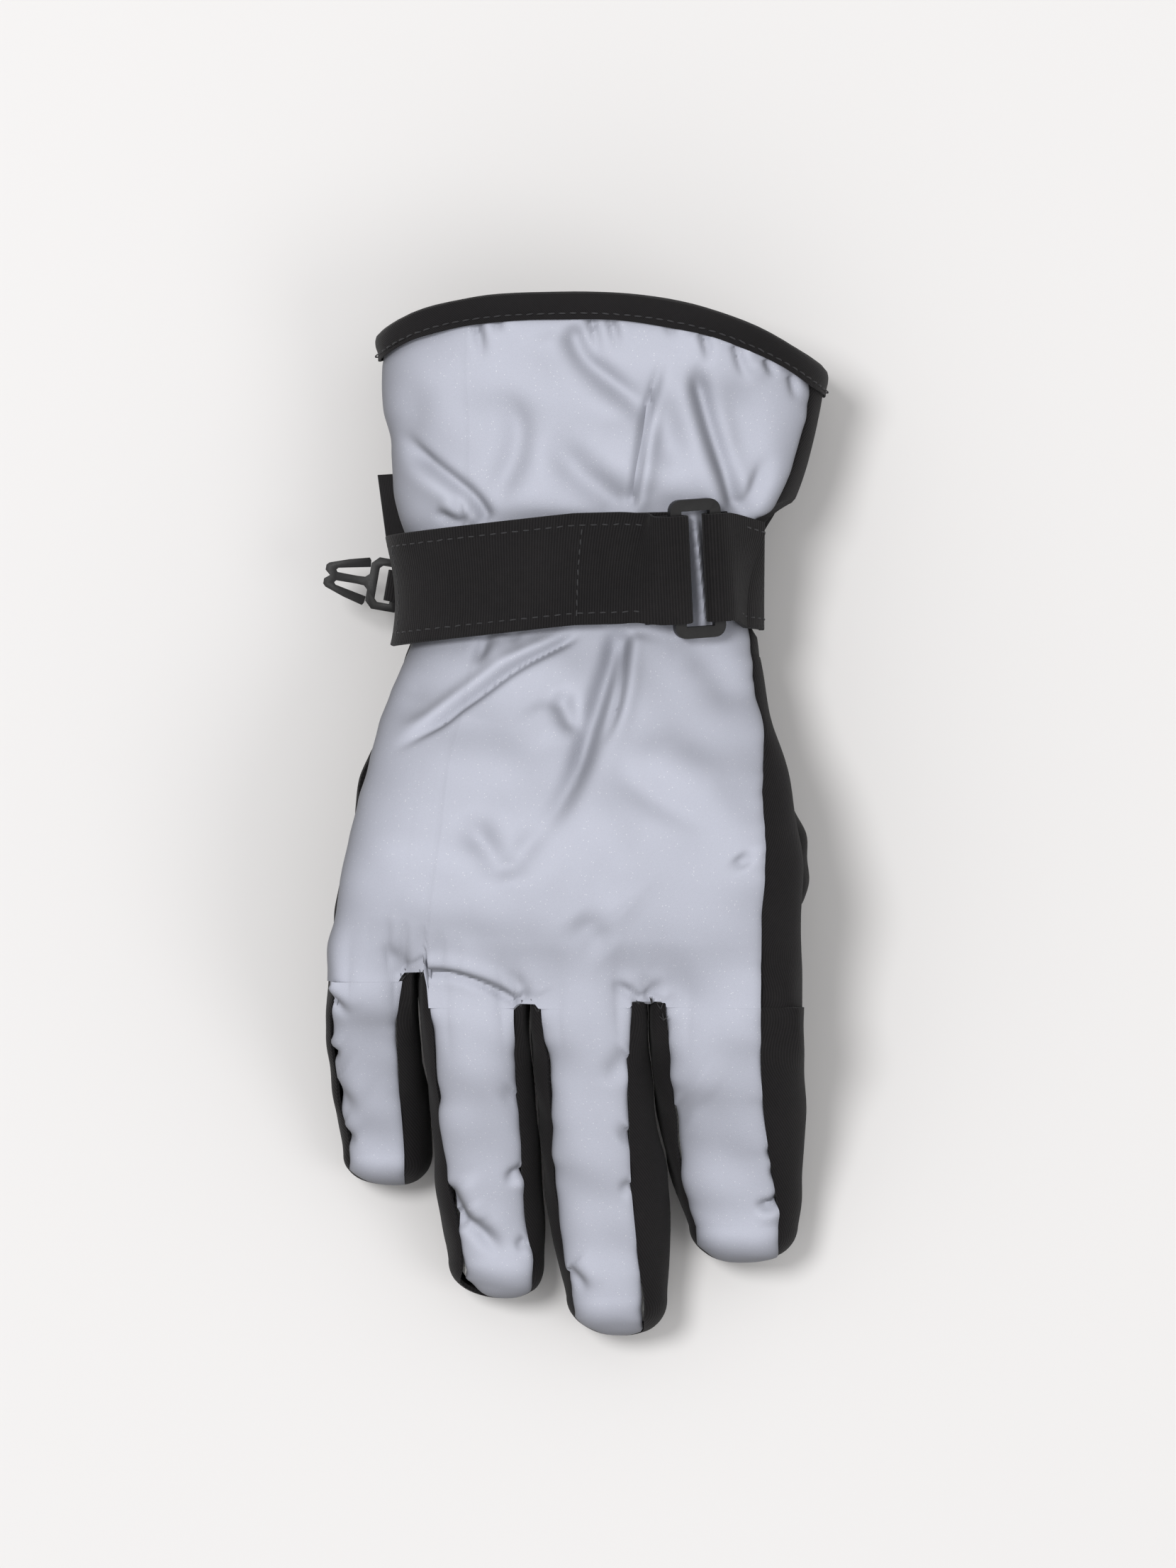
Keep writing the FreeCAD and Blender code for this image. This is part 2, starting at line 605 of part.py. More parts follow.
def clip_loop():
    """Webbing round the eye's bar, sewn into the side seam."""
    inner = math.hypot(CLIP_BAR, CLIP_THICK) / 2 + BODY_GAP
    outer = inner + LOOP_WALL
    rod = Part.makeCylinder(outer, 2 * LOOP_HALF, V(0, -LOOP_HALF, 0), V(0, 1, 0))
    bore = Part.makeCylinder(inner, 3 * LOOP_HALF, V(0, -1.5 * LOOP_HALF, 0), V(0, 1, 0))
    ring = hand_ring_at(CLIP_EYE.y)
    reach = abs(ring[1] - CLIP_EYE.x) + 3.0
    tail = Part.makeBox(reach, 2 * LOOP_HALF, 2 * LOOP_WALL, V(-reach, -LOOP_HALF, -LOOP_WALL))
    loop = rod.fuse(tail).cut(bore)
    loop.Placement = clip_place()
    return largest(loop.cut(hand_solid(-LAYER_GAP)))


def side_label():
    """A folded tab of tape in the little finger's side seam."""
    outline = [(-44.6, 78.0), (-42.4, 61.5), (-36.0, 62.0), (-36.0, 78.6)]
    tab = polygon(outline, LABEL_Z - LABEL_THICK / 2, LABEL_Z + LABEL_THICK / 2)
    return largest(tab.cut(hand_solid(-LAYER_GAP)))


# ---------------------------------------------------------------- build
def build():
    parts = hand_parts()
    parts["cuff_binding"] = cuff_binding()
    for name, size in FINGERS.items():
        parts.update(finger_parts(name, size))
    parts.update(thumb_parts())
    parts.update(strap_parts())
    parts["joining_clip"] = joining_clip()
    parts["clip_loop"] = clip_loop()
    parts["side_label"] = side_label()
    return parts


os.makedirs("parts", exist_ok=True)
for node, solid in build().items():
    if not solid.isValid():
        print("not valid:", node)
    box = solid.optimalBoundingBox(False, False)
    print("%-22s solids %d volume %9.1f  x %6.1f %6.1f  y %6.1f %6.1f  z %5.1f %5.1f" % (
        node, len(solid.Solids), solid.Volume, box.XMin, box.XMax, box.YMin, box.YMax,
        box.ZMin, box.ZMax))
    solid.exportStep("parts/" + node + ".step")
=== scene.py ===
"""A padded ski glove for the right hand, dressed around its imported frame.

Sizes inside the script are in millimetres, as a pattern maker writes them, and meshes are
scaled to metres as they are made. +Z is up, +Y runs to the cuff, the little finger is at -X.
"""

import math

import bmesh
import bpy
import numpy as np
from mathutils import Matrix, Vector


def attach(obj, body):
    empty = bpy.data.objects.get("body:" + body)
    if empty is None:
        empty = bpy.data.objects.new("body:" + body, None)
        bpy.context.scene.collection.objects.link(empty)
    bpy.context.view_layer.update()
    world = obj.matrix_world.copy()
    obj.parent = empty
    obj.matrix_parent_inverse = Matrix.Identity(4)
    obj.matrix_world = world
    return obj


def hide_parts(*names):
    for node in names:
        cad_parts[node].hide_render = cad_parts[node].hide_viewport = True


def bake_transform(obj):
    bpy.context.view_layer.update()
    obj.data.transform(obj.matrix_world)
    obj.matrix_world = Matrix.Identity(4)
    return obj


bl_info = {
    "name": "Ski Glove",
    "version": (1, 0, 0),
    "blender": (4, 5, 0),
    "location": "3D View > Sidebar > Glove",
    "description": "Dresses a padded ski glove around its packed frame",
    "category": "Add Mesh",
}

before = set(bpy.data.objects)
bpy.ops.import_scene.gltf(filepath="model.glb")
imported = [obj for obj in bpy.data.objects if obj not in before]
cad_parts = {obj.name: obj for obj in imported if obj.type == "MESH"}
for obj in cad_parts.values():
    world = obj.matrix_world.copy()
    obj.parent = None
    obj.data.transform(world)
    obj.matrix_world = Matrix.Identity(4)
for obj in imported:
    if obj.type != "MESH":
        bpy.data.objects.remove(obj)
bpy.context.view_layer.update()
MM = 0.001

# ------ the hand's form
HAND_SQUARENESS = 2.6
FINGER_SQUARENESS = 2.4
# Outline of the hand: y, little finger's side, index side, seam of the back panel
HAND_OUTLINE = (
    (124, -45, 58.4, 56), (103.5, -43.8, 57.2, 55), (95.5, -43.2, 56.6, 54),
    (87.4, -41.7, 55, 52.1), (79.4, -40.9, 52.8, 49.2), (71.3, -39.8, 49.7, 45.4),
    (63.3, -38.2, 45.6, 42.6), (55.2, -36.4, 42.2, 40.6), (47.2, -35.9, 41.2, 39.9),
    (39.1, -36.9, 41.8, 40), (31.1, -40, 43, 40.7), (23, -43, 45, 42.3),
    (15, -46.3, 47.2, 43.3), (7, -48.6, 49.2, 43), (-9, -51.2, 51.8, 43.2),
    (-17.2, -53.2, 51.9, 43), (-29.3, -55.3, 51.2, 42.4), (-37.3, -55.6, 51.7, 42.1),
    (-50, -56.2, 52.2, 42.3),
)
# Heights of the hand: y, underside, top
HAND_HEIGHTS = (
    (124, 3, 50.5), (105, -0.6, 49.5), (80, -0.6, 46.5), (50, 5, 42.5),
    (-10, 23.5, 60), (-47, 18, 48.5),
)
SEAT = 0.05                    # the cuff rests on the surface from here
SIDE_DROP = 9.0                # the index side panel reaches this far below mid height
GUSSET_TOP = 36.0
# Mouth of the cuff, seen from above
MOUTH = ((-47.0, 108.3), (-44.2, 110.3), (-39.7, 113.2), (-31.0, 116.1), (-22.3, 117.6),
         (-13.5, 118.4), (3.0, 118.8), (12.6, 118.3), (21.4, 117.1), (30.1, 115.2),
         (38.8, 112.2), (47.5, 108.2), (55.8, 103.1), (60.0, 100.0))
STRAP_WAIST = 40.7             # the strap draws the index side in to this x
CINCH_HALF, CINCH_FADE = 12.0, 9.0     # held this far each side of the strap, then let go
CINCH_RELEASE = 12.0
CINCH_FROM = 12.0              # the hold begins at this height
STRAP_BAND = 13.5              # the cloth lies flat this far each side of the strap
STRAP_LINE = ((-60.0, 49.5), (-47.0, 50.9), (0.0, 56.0), (24.0, 56.6), (41.0, 55.0), (52.0, 54.0))
BINDING_DEPTH = 6.4
BINDING_EDGE = 1.3
# Finger roots: (from x, to x, y where the hand's cloth ends)
ROOTS = ((-90.0, -38.9, -37.0), (-38.9, -33.2, -34.9), (-33.2, -13.0, -43.0),
         (-13.0, -8.2, -41.9), (-8.2, 13.4, -43.0), (13.4, 20.4, -41.7), (20.4, 90.0, -43.0))
ROOT_BAND = 15.0               # the hand takes the fingers' shape over this length

# ------ fingers and thumb
# Rows: y, little finger's side edge, left seam, right seam, index side edge
FINGERS = {
    "pinky": dict(
        base=-37, tip=-84.4, tip_x=-40.6, low=18.5, high=45, tip_high=19.5, webs=(-37, -34.9),
        rows=((-28, -55, -54.5, -37.6, -35.8), (-37, -55.6, -55, -38.7, -35.6),
              (-44.4, -56.1, -55.3, -39.8, -35.5), (-53.5, -56.1, -55.4, -39.7, -34.4),
              (-64.6, -54.9, -53.9, -39.5, -33), (-72, -53.4, -52.1, -39, -32.4),
              (-77, -53, -51.6, -38.6, -32.2))),
    "ring": dict(
        base=-43, tip=-110.3, tip_x=-15.4, low=18.2, high=47.5, tip_high=22.5, webs=(-35.1, -41.9),
        rows=((-33, -35.1, -33.4, -13.4, -10.2), (-43, -35.1, -32.5, -13.5, -10.1),
              (-47.3, -34.9, -32.3, -13.6, -10.1), (-64.6, -32.6, -31, -12, -8.6),
              (-81.8, -31.6, -29.2, -11.3, -7.4), (-93.4, -30.5, -26.8, -10.5, -6.4),
              (-101, -28.2, -26.1, -9.4, -6.6))),
    "middle": dict(
        base=-43, tip=-118.8, tip_x=10.6, low=18, high=48.5, tip_high=23.5, webs=(-42.1, -41.7),
        rows=((-33, -9.8, -7.6, 13.2, 16.4), (-43, -9.8, -7.4, 13.2, 16.5),
              (-47.3, -9.8, -7, 13, 16.6), (-64.6, -8.3, -5.8, 12.7, 18.3),
              (-81, -7, -4.9, 12.8, 21.2), (-92.1, -5.7, -3.6, 13.8, 22.1),
              (-103.2, -3.5, -1.2, 15.2, 22), (-109.5, -1, 0.1, 16.2, 21.4))),
    "index": dict(
        base=-43, tip=-102.1, tip_x=38.2, low=18, high=47, tip_high=23, webs=(-41.9, -43),
        rows=((-33, 16.8, 20.8, 42.2, 51.8), (-43, 16.9, 20.8, 42.2, 52),
              (-47.7, 16.9, 21, 42.3, 52.2), (-58.8, 17.7, 22, 42.5, 52.6),
              (-69.9, 19.2, 22.7, 43.4, 52.7), (-81, 21.7, 23.9, 45.2, 52.4),
              (-89.4, 24.6, 25.9, 46.9, 52), (-93.5, 26.6, 28, 46.7, 51.4))),
}
TIP_LOW = 0.2
TIP_POWER = 2.2                # roundness of the fingertips, seen from above
PALM_SHARE = 0.3
ROOT_SLOPE = 0.18              # fall of the back over the knuckles
TIP_SLOPE = 0.35               # share of the mean fall that is left at the fingertip
ROOT_BLEND = 2.5               # how sharply one finger's height gives way to the next
SHOULDER = 0.5                 # the roots keep their height out to this share of a finger
THUMB = dict(root_x=36.0, tip_x=1.0, root_y=-10.0, tip_y=-25.0, root_half=14.0, tip_half=11.5,
             root_high=24.0, tip_high=20.5, round=13.0)
# Pouch that carries the thumb: x, y, half width, underside, top
POUCH = ((53.7, -12.0, 0.2, 17.0, 21.0), (53.4, -12.0, 3.0, 14.0, 25.0),
         (52.5, -11.0, 9.0, 8.0, 31.0), (49.5, -9.5, 13.0, 3.5, 33.5),
         (44.0, -8.5, 15.0, 1.2, 32.0), (36.0, -9.5, 14.3, 0.5, 28.0),
         (33.0, -10.0, 14.2, 0.5, 27.0))

# ------ layers, inwards
SHELL = 0.9
LAYER_GAP = 0.2
HAND_PADDING = 3.0
FINGER_PADDING = 2.3
MEMBRANE = 0.3
LINING = 1.0
LAYER_SLOTS = {"insulation": "padding", "membrane": "insert_film", "lining": "lining_fleece"}
FULL_TURN = 2 * math.pi


def ease(share):
    share = np.clip(share, 0.0, 1.0)
    return share * share * (3 - 2 * share)


def between(rows, y, smooth=3.0):
    """Columns of a table at y, with its corners rounded over a few millimetres."""
    table = np.array(sorted(rows))
    y = np.asarray(y, float)
    found = []
    for column in range(1, table.shape[1]):
        value = sum(np.interp(y + shift * smooth, table[:, 0], table[:, column])
                    for shift in (-1.0, -0.5, 0.0, 0.5, 1.0)) / 5
        found.append(value)
    return found


def hand_ring(y):
    """Left, right, underside and top of the hand at y."""
    left, right, _ = between(HAND_OUTLINE, y)
    table = np.array(sorted(HAND_HEIGHTS))
    y = np.asarray(y, float)
    place = np.clip(np.searchsorted(table[:, 0], y) - 1, 0, len(table) - 2)
    share = ease((y - table[place, 0]) / (table[place + 1, 0] - table[place, 0]))
    low, high = (table[place, c] + (table[place + 1, c] - table[place, c]) * share
                 for c in (1, 2))
    return left, right, low, high


def mouth_line(x):
    """y of the cuff's mouth over x."""
    line = np.array(MOUTH)
    return sum(np.interp(x + shift, line[:, 0], line[:, 1]) for shift in (-3.0, 0.0, 3.0)) / 3


def strap_y(x):
    """y of the strap's middle over x."""
    line = np.array(STRAP_LINE)
    return np.interp(x, line[:, 0], line[:, 1])


def cinch(x, y, z, inset=0.0):
    """Draws the index side of the wrist in under the strap's tab."""
    off = np.abs(y - strap_y(x)) - CINCH_HALF
    limit = STRAP_WAIST - inset + CINCH_RELEASE * ease(off / CINCH_FADE)
    hold = ease((z - CINCH_FROM) / 7.0) * (off < CINCH_FADE)
    return x - hold * np.maximum(0.0, x - limit)


def root_line(x, soft=0.5):
    """y where the hand's cloth ends and a finger's begins."""
    x = np.asarray(x, float)
    line = np.full(x.shape, ROOTS[0][2])
    for (_, edge, before), (_, _, after) in zip(ROOTS, ROOTS[1:]):
        line = line + (after - before) * ease((x - edge + soft) / (2 * soft))
    return line


def finger_heights(size, y):
    """Underside and top of a finger at y, with a soft bend over the knuckle."""
    straight = size["rows"][-1][0]
    share = (size["base"] - y) / (size["base"] - straight)
    first = ROOT_SLOPE * (size["base"] - straight) / (size["high"] - size["tip_high"])
    inside = np.clip(share, 0.0, 1.0)
    last = TIP_SLOPE
    bend = (first * inside + (3 - 2 * first - last) * inside**2
            + (first + last - 2) * inside**3)
    bend = np.where(share < 0, first * share, bend)
    high = size["high"] + (size["tip_high"] - size["high"]) * bend
    low = size["low"] + (TIP_LOW - size["low"]) * bend
    return low, high


def tip_close(past):
    """Share of its size that a finger keeps this far into its rounded tip."""
    return (1 - past**TIP_POWER) ** (1 / TIP_POWER)


def finger_ring(size, y):
    """Centre and half sizes of a finger's section at y, with its seams, in millimetres."""
    straight = size["rows"][-1][0]
    left, seam_left, seam_right, right = between(size["rows"], np.maximum(y, straight))
    low, high = finger_heights(size, np.maximum(y, straight))
    past = np.clip((straight - y) / (straight - size["tip"]), 0.0, 1.0)
    close = tip_close(past)
    tip_x = size["tip_x"]
    left, right = (tip_x + (edge - tip_x) * close for edge in (left, right))
    height = (high - low) / 2
    middle = (high + low) / 2 - (1 - close) * height * 0.35
    return (left + right) / 2, (right - left) / 2, middle, height * close, seam_left, seam_right


def profile(x, centre, half, squareness, most=0.97):
    """Share of the half height that a rounded section reaches over x."""
    share = np.clip(np.abs(x - centre) / np.maximum(half, 1e-6), 0.0, most)
    return (1 - share**squareness) ** (1 / squareness)


def root_height(x, y, side):
    """Height of the fingers' forms run back under the hand; side is 1 on top, -1 below."""
    total, weight = 0.0, 0.0
    for size in FINGERS.values():
        centre, half, middle, tall, _, _ = finger_ring(size, y)
        share = (x - centre) / np.maximum(half, 0.5)
        here = middle + side * tall * profile(x, centre, half, FINGER_SQUARENESS, SHOULDER)
        near = np.exp(-ROOT_BLEND * share**2)
        total, weight = total + near * here, weight + near
    return total / weight


def hand_under(x, y):
    """Height of the hand's underside over a point."""
    left, right, low, high = hand_ring(y)
    rise = profile(x, (left + right) / 2, (right - left) / 2, HAND_SQUARENESS, 1.0)
    return (low + high) / 2 - (high - low) / 2 * rise


def section_point(turn, centre, half, squareness):
    """Point of a rounded section: its place across and its height."""
    power = 2 / squareness
    c, s = np.cos(turn), np.sin(turn)
    return (centre[0] + half[0] * np.sign(c) * np.abs(c) ** power,
            centre[1] + half[1] * np.sign(s) * np.abs(s) ** power)


def turn_across(x, centre, half, squareness):
    """Turn at which the top of a section passes over x."""
    share = np.clip((x - centre) / np.maximum(half, 1e-6), -0.985, 0.985)
    return np.arccos(np.sign(share) * np.abs(share) ** (squareness / 2))


def turn_down(drop, squareness):
    """Turn of a point this share of the half height below the middle."""
    return np.arcsin(np.clip(drop, 0.0, 0.999) ** (squareness / 2))


def steady(turn):
    """An edge that keeps the same turn all along a piece."""
    return lambda *given: np.full(np.shape(given[-1]), turn)


def on_hand_section(turn, y, inset):
    """Point of the hand's section at y, this far inside its face."""
    left, right, low, high = hand_ring(y)
    return section_point(turn, ((left + right) / 2, (low + high) / 2),
                         ((right - left) / 2 - inset, (high - low) / 2 - inset),
                         HAND_SQUARENESS)


def even_turns(first, last, half_x, half_z, squareness, count):
    """Turns from first to last, one row for each section, evenly spaced along the cloth."""
    rows = []
    for a, b, hx, hz in zip(first, last, half_x, half_z):
        turn = np.linspace(a, b, 160)
        x, z = section_point(turn, (0.0, 0.0), (max(hx, 0.1), max(hz, 0.1)), squareness)
        length = np.concatenate([[0.0], np.cumsum(np.hypot(np.diff(x), np.diff(z)))])
        rows.append(np.interp(np.linspace(0, length[-1], count), length, turn))
    return np.array(rows)


# ------ folds and puckers
def waves(x, y, size, seed, count=7):
    """Soft uneven swell of stuffed cloth, from -1 to 1."""
    rng = np.random.default_rng(seed)
    total = 0.0
    for _ in range(count):
        heading = rng.uniform(0, math.pi)
        length = size * rng.uniform(0.7, 1.5)
        phase = rng.uniform(0, 2 * math.pi)
        total = total + np.sin((x * math.cos(heading) + y * math.sin(heading))
                               * 2 * math.pi / length + phase)
    return total / (count ** 0.5 * 1.2)


def ripple(along, pitch, seed):
    """Uneven gathers along a seam, from 0 to 1."""
    rng = np.random.default_rng(seed)
    low = float(np.min(along)) - 2 * pitch
    count = int((float(np.max(along)) - low) / pitch) + 4
    knots = low + (np.arange(count) + rng.uniform(-0.3, 0.3, count)) * pitch
    values = rng.uniform(0, 1, count) * (np.arange(count) % 2)
    fine = np.linspace(knots[0], knots[-1], count * 12)
    curve = np.interp(fine, knots, values)
    kernel = np.hanning(11)
    curve = np.convolve(curve, kernel / kernel.sum(), mode="same")
    return np.interp(along, fine, curve)


def off_line(x, y, guide):
    """Signed distance from a drawn line, and how far along it (0 to 1) the nearest point is."""
    points = np.array(guide, float)
    lengths = np.hypot(*np.diff(points, axis=0).T)
    total = lengths.sum()
    best = np.full(x.shape, 1e9)
    signed, share = np.zeros(x.shape), np.zeros(x.shape)
    done = 0.0
    for start, end, length in zip(points, points[1:], lengths):
        step = (end - start) / length
        reach = np.clip((x - start[0]) * step[0] + (y - start[1]) * step[1], 0, length)
        dx, dy = x - start[0] - reach * step[0], y - start[1] - reach * step[1]
        far = np.hypot(dx, dy)
        side = np.sign(step[0] * dy - step[1] * dx)
        near = far < best
        best = np.where(near, far, best)
        signed = np.where(near, far * side, signed)
        share = np.where(near, (done + reach) / total, share)
        done += length
    return signed, share


def smooth_guide(guide):
    """A drawn line with its corners rounded, by halving and averaging."""
    points = [np.array(p, float) for p in guide]
    for _ in range(3):
        finer = [points[0]]
        for a, b in zip(points, points[1:]):
            finer += [a * 0.75 + b * 0.25, a * 0.25 + b * 0.75]
        points = finer + [points[-1]]
    return points


FOLD_DEPTH = 1.6               # strength of all valleys and lips together
FOLD_LIP = 1.1
FOLD_WIDTH = 1.3
NARROWEST = 1.1                # no fold of the padded cloth is sharper than this


def fold_height(x, y, folds):
    """Push of all folds at a point: a valley along each line and a lip beside it.

    A fold is (line, width, depth, lip, fade at start, fade at end); a lip below 0 stands on
    the right of the line as it is walked.
    """
    total = np.zeros(np.shape(x))
    for guide, width, depth, lip, fade_in, fade_out in folds:
        reach = max(width * 6, 8.0)
        xs, ys = zip(*guide)
        near = ((x > min(xs) - reach) & (x < max(xs) + reach)
                & (y > min(ys) - reach) & (y < max(ys) + reach))
        if not near.any():
            continue
        width = max(FOLD_WIDTH * width, NARROWEST)
        signed, share = off_line(x[near], y[near], smooth_guide(guide))
        strength = ease(share / max(fade_in, 1e-3)) * ease((1 - share) / max(fade_out, 1e-3))
        valley = -FOLD_DEPTH * depth * np.exp(-(signed / width) ** 2)
        ridge_at = math.copysign(width * 2.1, lip)
        ridge = FOLD_LIP * abs(lip) * np.exp(-((signed - ridge_at) / (width * 1.6)) ** 2)
        total[near] += strength * (valley + ridge)
    return total


# ------ mesh making
def cloth_mesh(name, points, outward, closed=False, uv=None):
    """A mesh object from rows of points in millimetres; faces look along outward's side.

    outward is a point inside the form for each row, and uv the cloth's own lengths in metres.
    """
    rows, columns = points.shape[:2]
    index = np.arange(rows * columns).reshape(rows, columns)
    right = np.roll(index, -1, axis=1) if closed else index[:, 1:]
    here = index if closed else index[:, :-1]
    faces = np.stack([here[:-1], right[:-1], right[1:], here[1:]], axis=-1).reshape(-1, 4)
    flat = points.reshape(-1, 3)
    a, b, d = flat[faces[:, 0]], flat[faces[:, 1]], flat[faces[:, 3]]
    inside = np.repeat(np.array(outward, float), columns, axis=0)[faces[:, 0]]
    facing = np.einsum("ij,ij->i", np.cross(b - a, d - a), a - inside)
    if np.sum(np.sign(facing)) < 0:
        faces = faces[:, ::-1]
    mesh = bpy.data.meshes.new(name)
    mesh.from_pydata((flat * MM).tolist(), [], faces.tolist())
    if uv is not None:
        layer = mesh.uv_layers.new(name="cloth")
        layer.data.foreach_set("uv", uv.reshape(-1, 2)[faces.reshape(-1)].reshape(-1))
    piece = new_piece(name, mesh)
    merge_close(piece)
    return piece


def new_piece(name, mesh):
    """Links an object for a mesh to the scene."""
    piece = bpy.data.objects.new(name, mesh)
    bpy.context.scene.collection.objects.link(piece)
    return piece


def merge_close(piece, distance=2e-6):
    made = bmesh.new()
    made.from_mesh(piece.data)
    bmesh.ops.remove_doubles(made, verts=made.verts, dist=distance)
    bmesh.ops.dissolve_degenerate(made, edges=made.edges, dist=1e-7)
    made.to_mesh(piece.data)
    made.free()


def pick(piece):
    """Only this piece is selected and active."""
    bpy.ops.object.select_all(action="DESELECT")
    piece.select_set(True)
    bpy.context.view_layer.objects.active = piece


def apply_modifiers(piece):
    pick(piece)
    for modifier in list(piece.modifiers):
        bpy.ops.object.modifier_apply(modifier=modifier.name)


def thicken(piece, thickness, offset=-1.0):
    """Gives cloth its thickness, in millimetres, inwards from its face."""
    solid = piece.modifiers.new("Thickness", "SOLIDIFY")
    solid.thickness = thickness * MM
    solid.offset = offset
    solid.use_even_offset = False
    apply_modifiers(piece)


def smooth(piece, degrees=48):
    pick(piece)
    bpy.ops.object.shade_smooth_by_angle(angle=math.radians(degrees))


def soften(piece, width, segments=3, angle=35, shade=40):
    """Rounds a piece's edges by this width in millimetres."""
    edge = piece.modifiers.new("Worn edges", "BEVEL")
    edge.width = width * MM
    edge.segments = segments
    edge.limit_method = "ANGLE"
    edge.angle_limit = math.radians(angle)
    apply_modifiers(piece)
    smooth(piece, shade)


def normals_of(points, closed=False):
    """Unit normals of a grid of points, not yet told inwards from outwards."""
    if closed:
        across = np.roll(points, -1, axis=1) - np.roll(points, 1, axis=1)
    else:
        across = np.gradient(points, axis=1)
    along = np.gradient(points, axis=0)
    found = np.cross(across, along)
    return found / np.maximum(np.linalg.norm(found, axis=2, keepdims=True), 1e-9)


def outward_normals(points, inside, closed=False):
    found = normals_of(points, closed)
    facing = np.sum(np.einsum("ijk,ijk->ij", found, points - inside[:, None, :]))
    return found if facing > 0 else -found


def lengths(points):
    """Lengths along the rows and the columns of a grid, in millimetres."""
    across = np.linalg.norm(np.diff(points, axis=1), axis=2)
    across = np.concatenate([np.zeros((len(points), 1)), np.cumsum(across, axis=1)], axis=1)
    along = np.linalg.norm(np.diff(points, axis=0), axis=2)
    along = np.concatenate([np.zeros((1, points.shape[1])), np.cumsum(along, axis=0)], axis=0)
    return across, along


def seam_pinch(across, depth, width):
    """Cloth drawn in towards the seams at both long edges."""
    total = across[:, -1:]
    near = np.minimum(across, total - across)
    return -depth * np.exp(-near / width)


def seam_gathers(across, along, which, depth, reach, pitch, seed):
    """Small puckers that run in from a long edge; which is 0 for the first edge, 1 for the last."""
    near = across if which == 0 else across[:, -1:] - across
    return -depth * ripple(along, pitch, seed) * np.exp(-near / reach)


def seamed(push, across, along, pinch, *gathers):
    """Adds the pinch of both seams and the gathers of each seam that has some."""
    push = push + seam_pinch(across, *pinch)
    for gather in gathers:
        push = push + seam_gathers(across, along, *gather)
    return push


def finish_cloth(name, points, inside, push, thickness, closed=False, ride=None, blend=None,
                 stands_for=(), slot=None, material=None):
    """Pushes the cloth along its normals, thickens it, and hangs it on its body or bakes it in
    place.
    """
    across, along = lengths(points)
    points = points + outward_normals(points, inside, closed) * push[:, :, None]
    points[:, :, 2] = np.maximum(points[:, :, 2], SEAT)
    uv = np.stack([across, along], axis=2) * MM
    piece = cloth_mesh(name, points, inside, closed, uv)
    if thickness:
        thicken(piece, thickness)
    smooth(piece)
    return finish_piece(piece, ride, blend, stands_for, slot, material)


def finish_piece(piece, ride=None, blend=None, stands_for=(), slot=None, material=None):
    """Hangs a piece on its body, or bakes it in place when it blends; hides the parts that it stands
    for and gives it the material of its slot.
    """
    if blend:
        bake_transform(piece)
    else:
        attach(piece, ride)
    if stands_for:
        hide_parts(*stands_for)
    piece.data.materials.clear()
    piece.data.materials.append(MATERIALS[material or slot])
    return piece


# ------ hand panels
WHOLE_ROUND = (steady(-0.25 * FULL_TURN), steady(0.75 * FULL_TURN))
FINGER_END, CUFF_SPAN = -43.0, 150.0     # the hand's cloth is first spread over this span


def hand_points(first, last, rows, columns, inset=0.0, rear=BINDING_EDGE, front=0.0):
    """Points of a hand panel between two long edges; first and last give a turn for (y, ring)."""
    share = np.linspace(0, 1, rows)
    y = np.repeat((FINGER_END + share * CUFF_SPAN)[:, None], columns, axis=1)
    for _ in range(4):
        left, right, low, high = hand_ring(y[:, columns // 2])
        turns = even_turns(first(y[:, 0]), last(y[:, -1]), (right - left) / 2 - inset,
                           (high - low) / 2 - inset, HAND_SQUARENESS, columns)
        left, right, low, high = hand_ring(y)
        centre = ((left + right) / 2, (low + high) / 2)
        half = ((right - left) / 2 - inset, (high - low) / 2 - inset)
        x, z = section_point(turns, centre, half, HAND_SQUARENESS)
        plain = FINGER_END + front
        y = plain + share[:, None] * (mouth_line(x) - rear - plain)
        y = y + (root_line(x) + front - plain) * np.clip(1 - share[:, None] / 0.16, 0, 1)
    soft_root = sum(root_line(x + shift) for shift in (-8.0, -4.0, 0.0, 4.0, 8.0)) / 5
    near = ease(1 - (y - soft_root) / ROOT_BAND)
    side = np.where(np.sin(turns) >= 0, 1.0, -1.0)
    target = np.where(side > 0, root_height(x, y, 1) - inset, root_height(x, y, -1) + inset)
    lean = ease(np.abs(np.sin(turns)) / 0.5)
    z = z + (target - z) * near * lean
    points = np.stack([cinch(x, y, z, inset), y, z], axis=2)
    inside = np.stack([(left + right)[:, columns // 2] / 2, y[:, columns // 2],
                       (low + high)[:, columns // 2] / 2], axis=1)
    return points, inside


def back_edge_right(y):
    """Turn of the seam between the back panel and the index side."""
    left, right, _, _ = hand_ring(y)
    seam = between(HAND_OUTLINE, y)[2]
    return turn_across(seam, (left + right) / 2, (right - left) / 2, HAND_SQUARENESS)


def back_edge_left(y):
    """Turn of the seam on the little finger's side."""
    _, _, low, high = hand_ring(y)
    return math.pi + turn_down(1.0 / ((high - low) / 2), HAND_SQUARENESS)


def palm_edge_right(y):
    """Turn of the seam between the palm and the index side."""
    _, _, low, high = hand_ring(y)
    return -turn_down(SIDE_DROP / ((high - low) / 2), HAND_SQUARENESS)


def palm_edge_right_round(y):
    return palm_edge_right(y) + 2 * math.pi


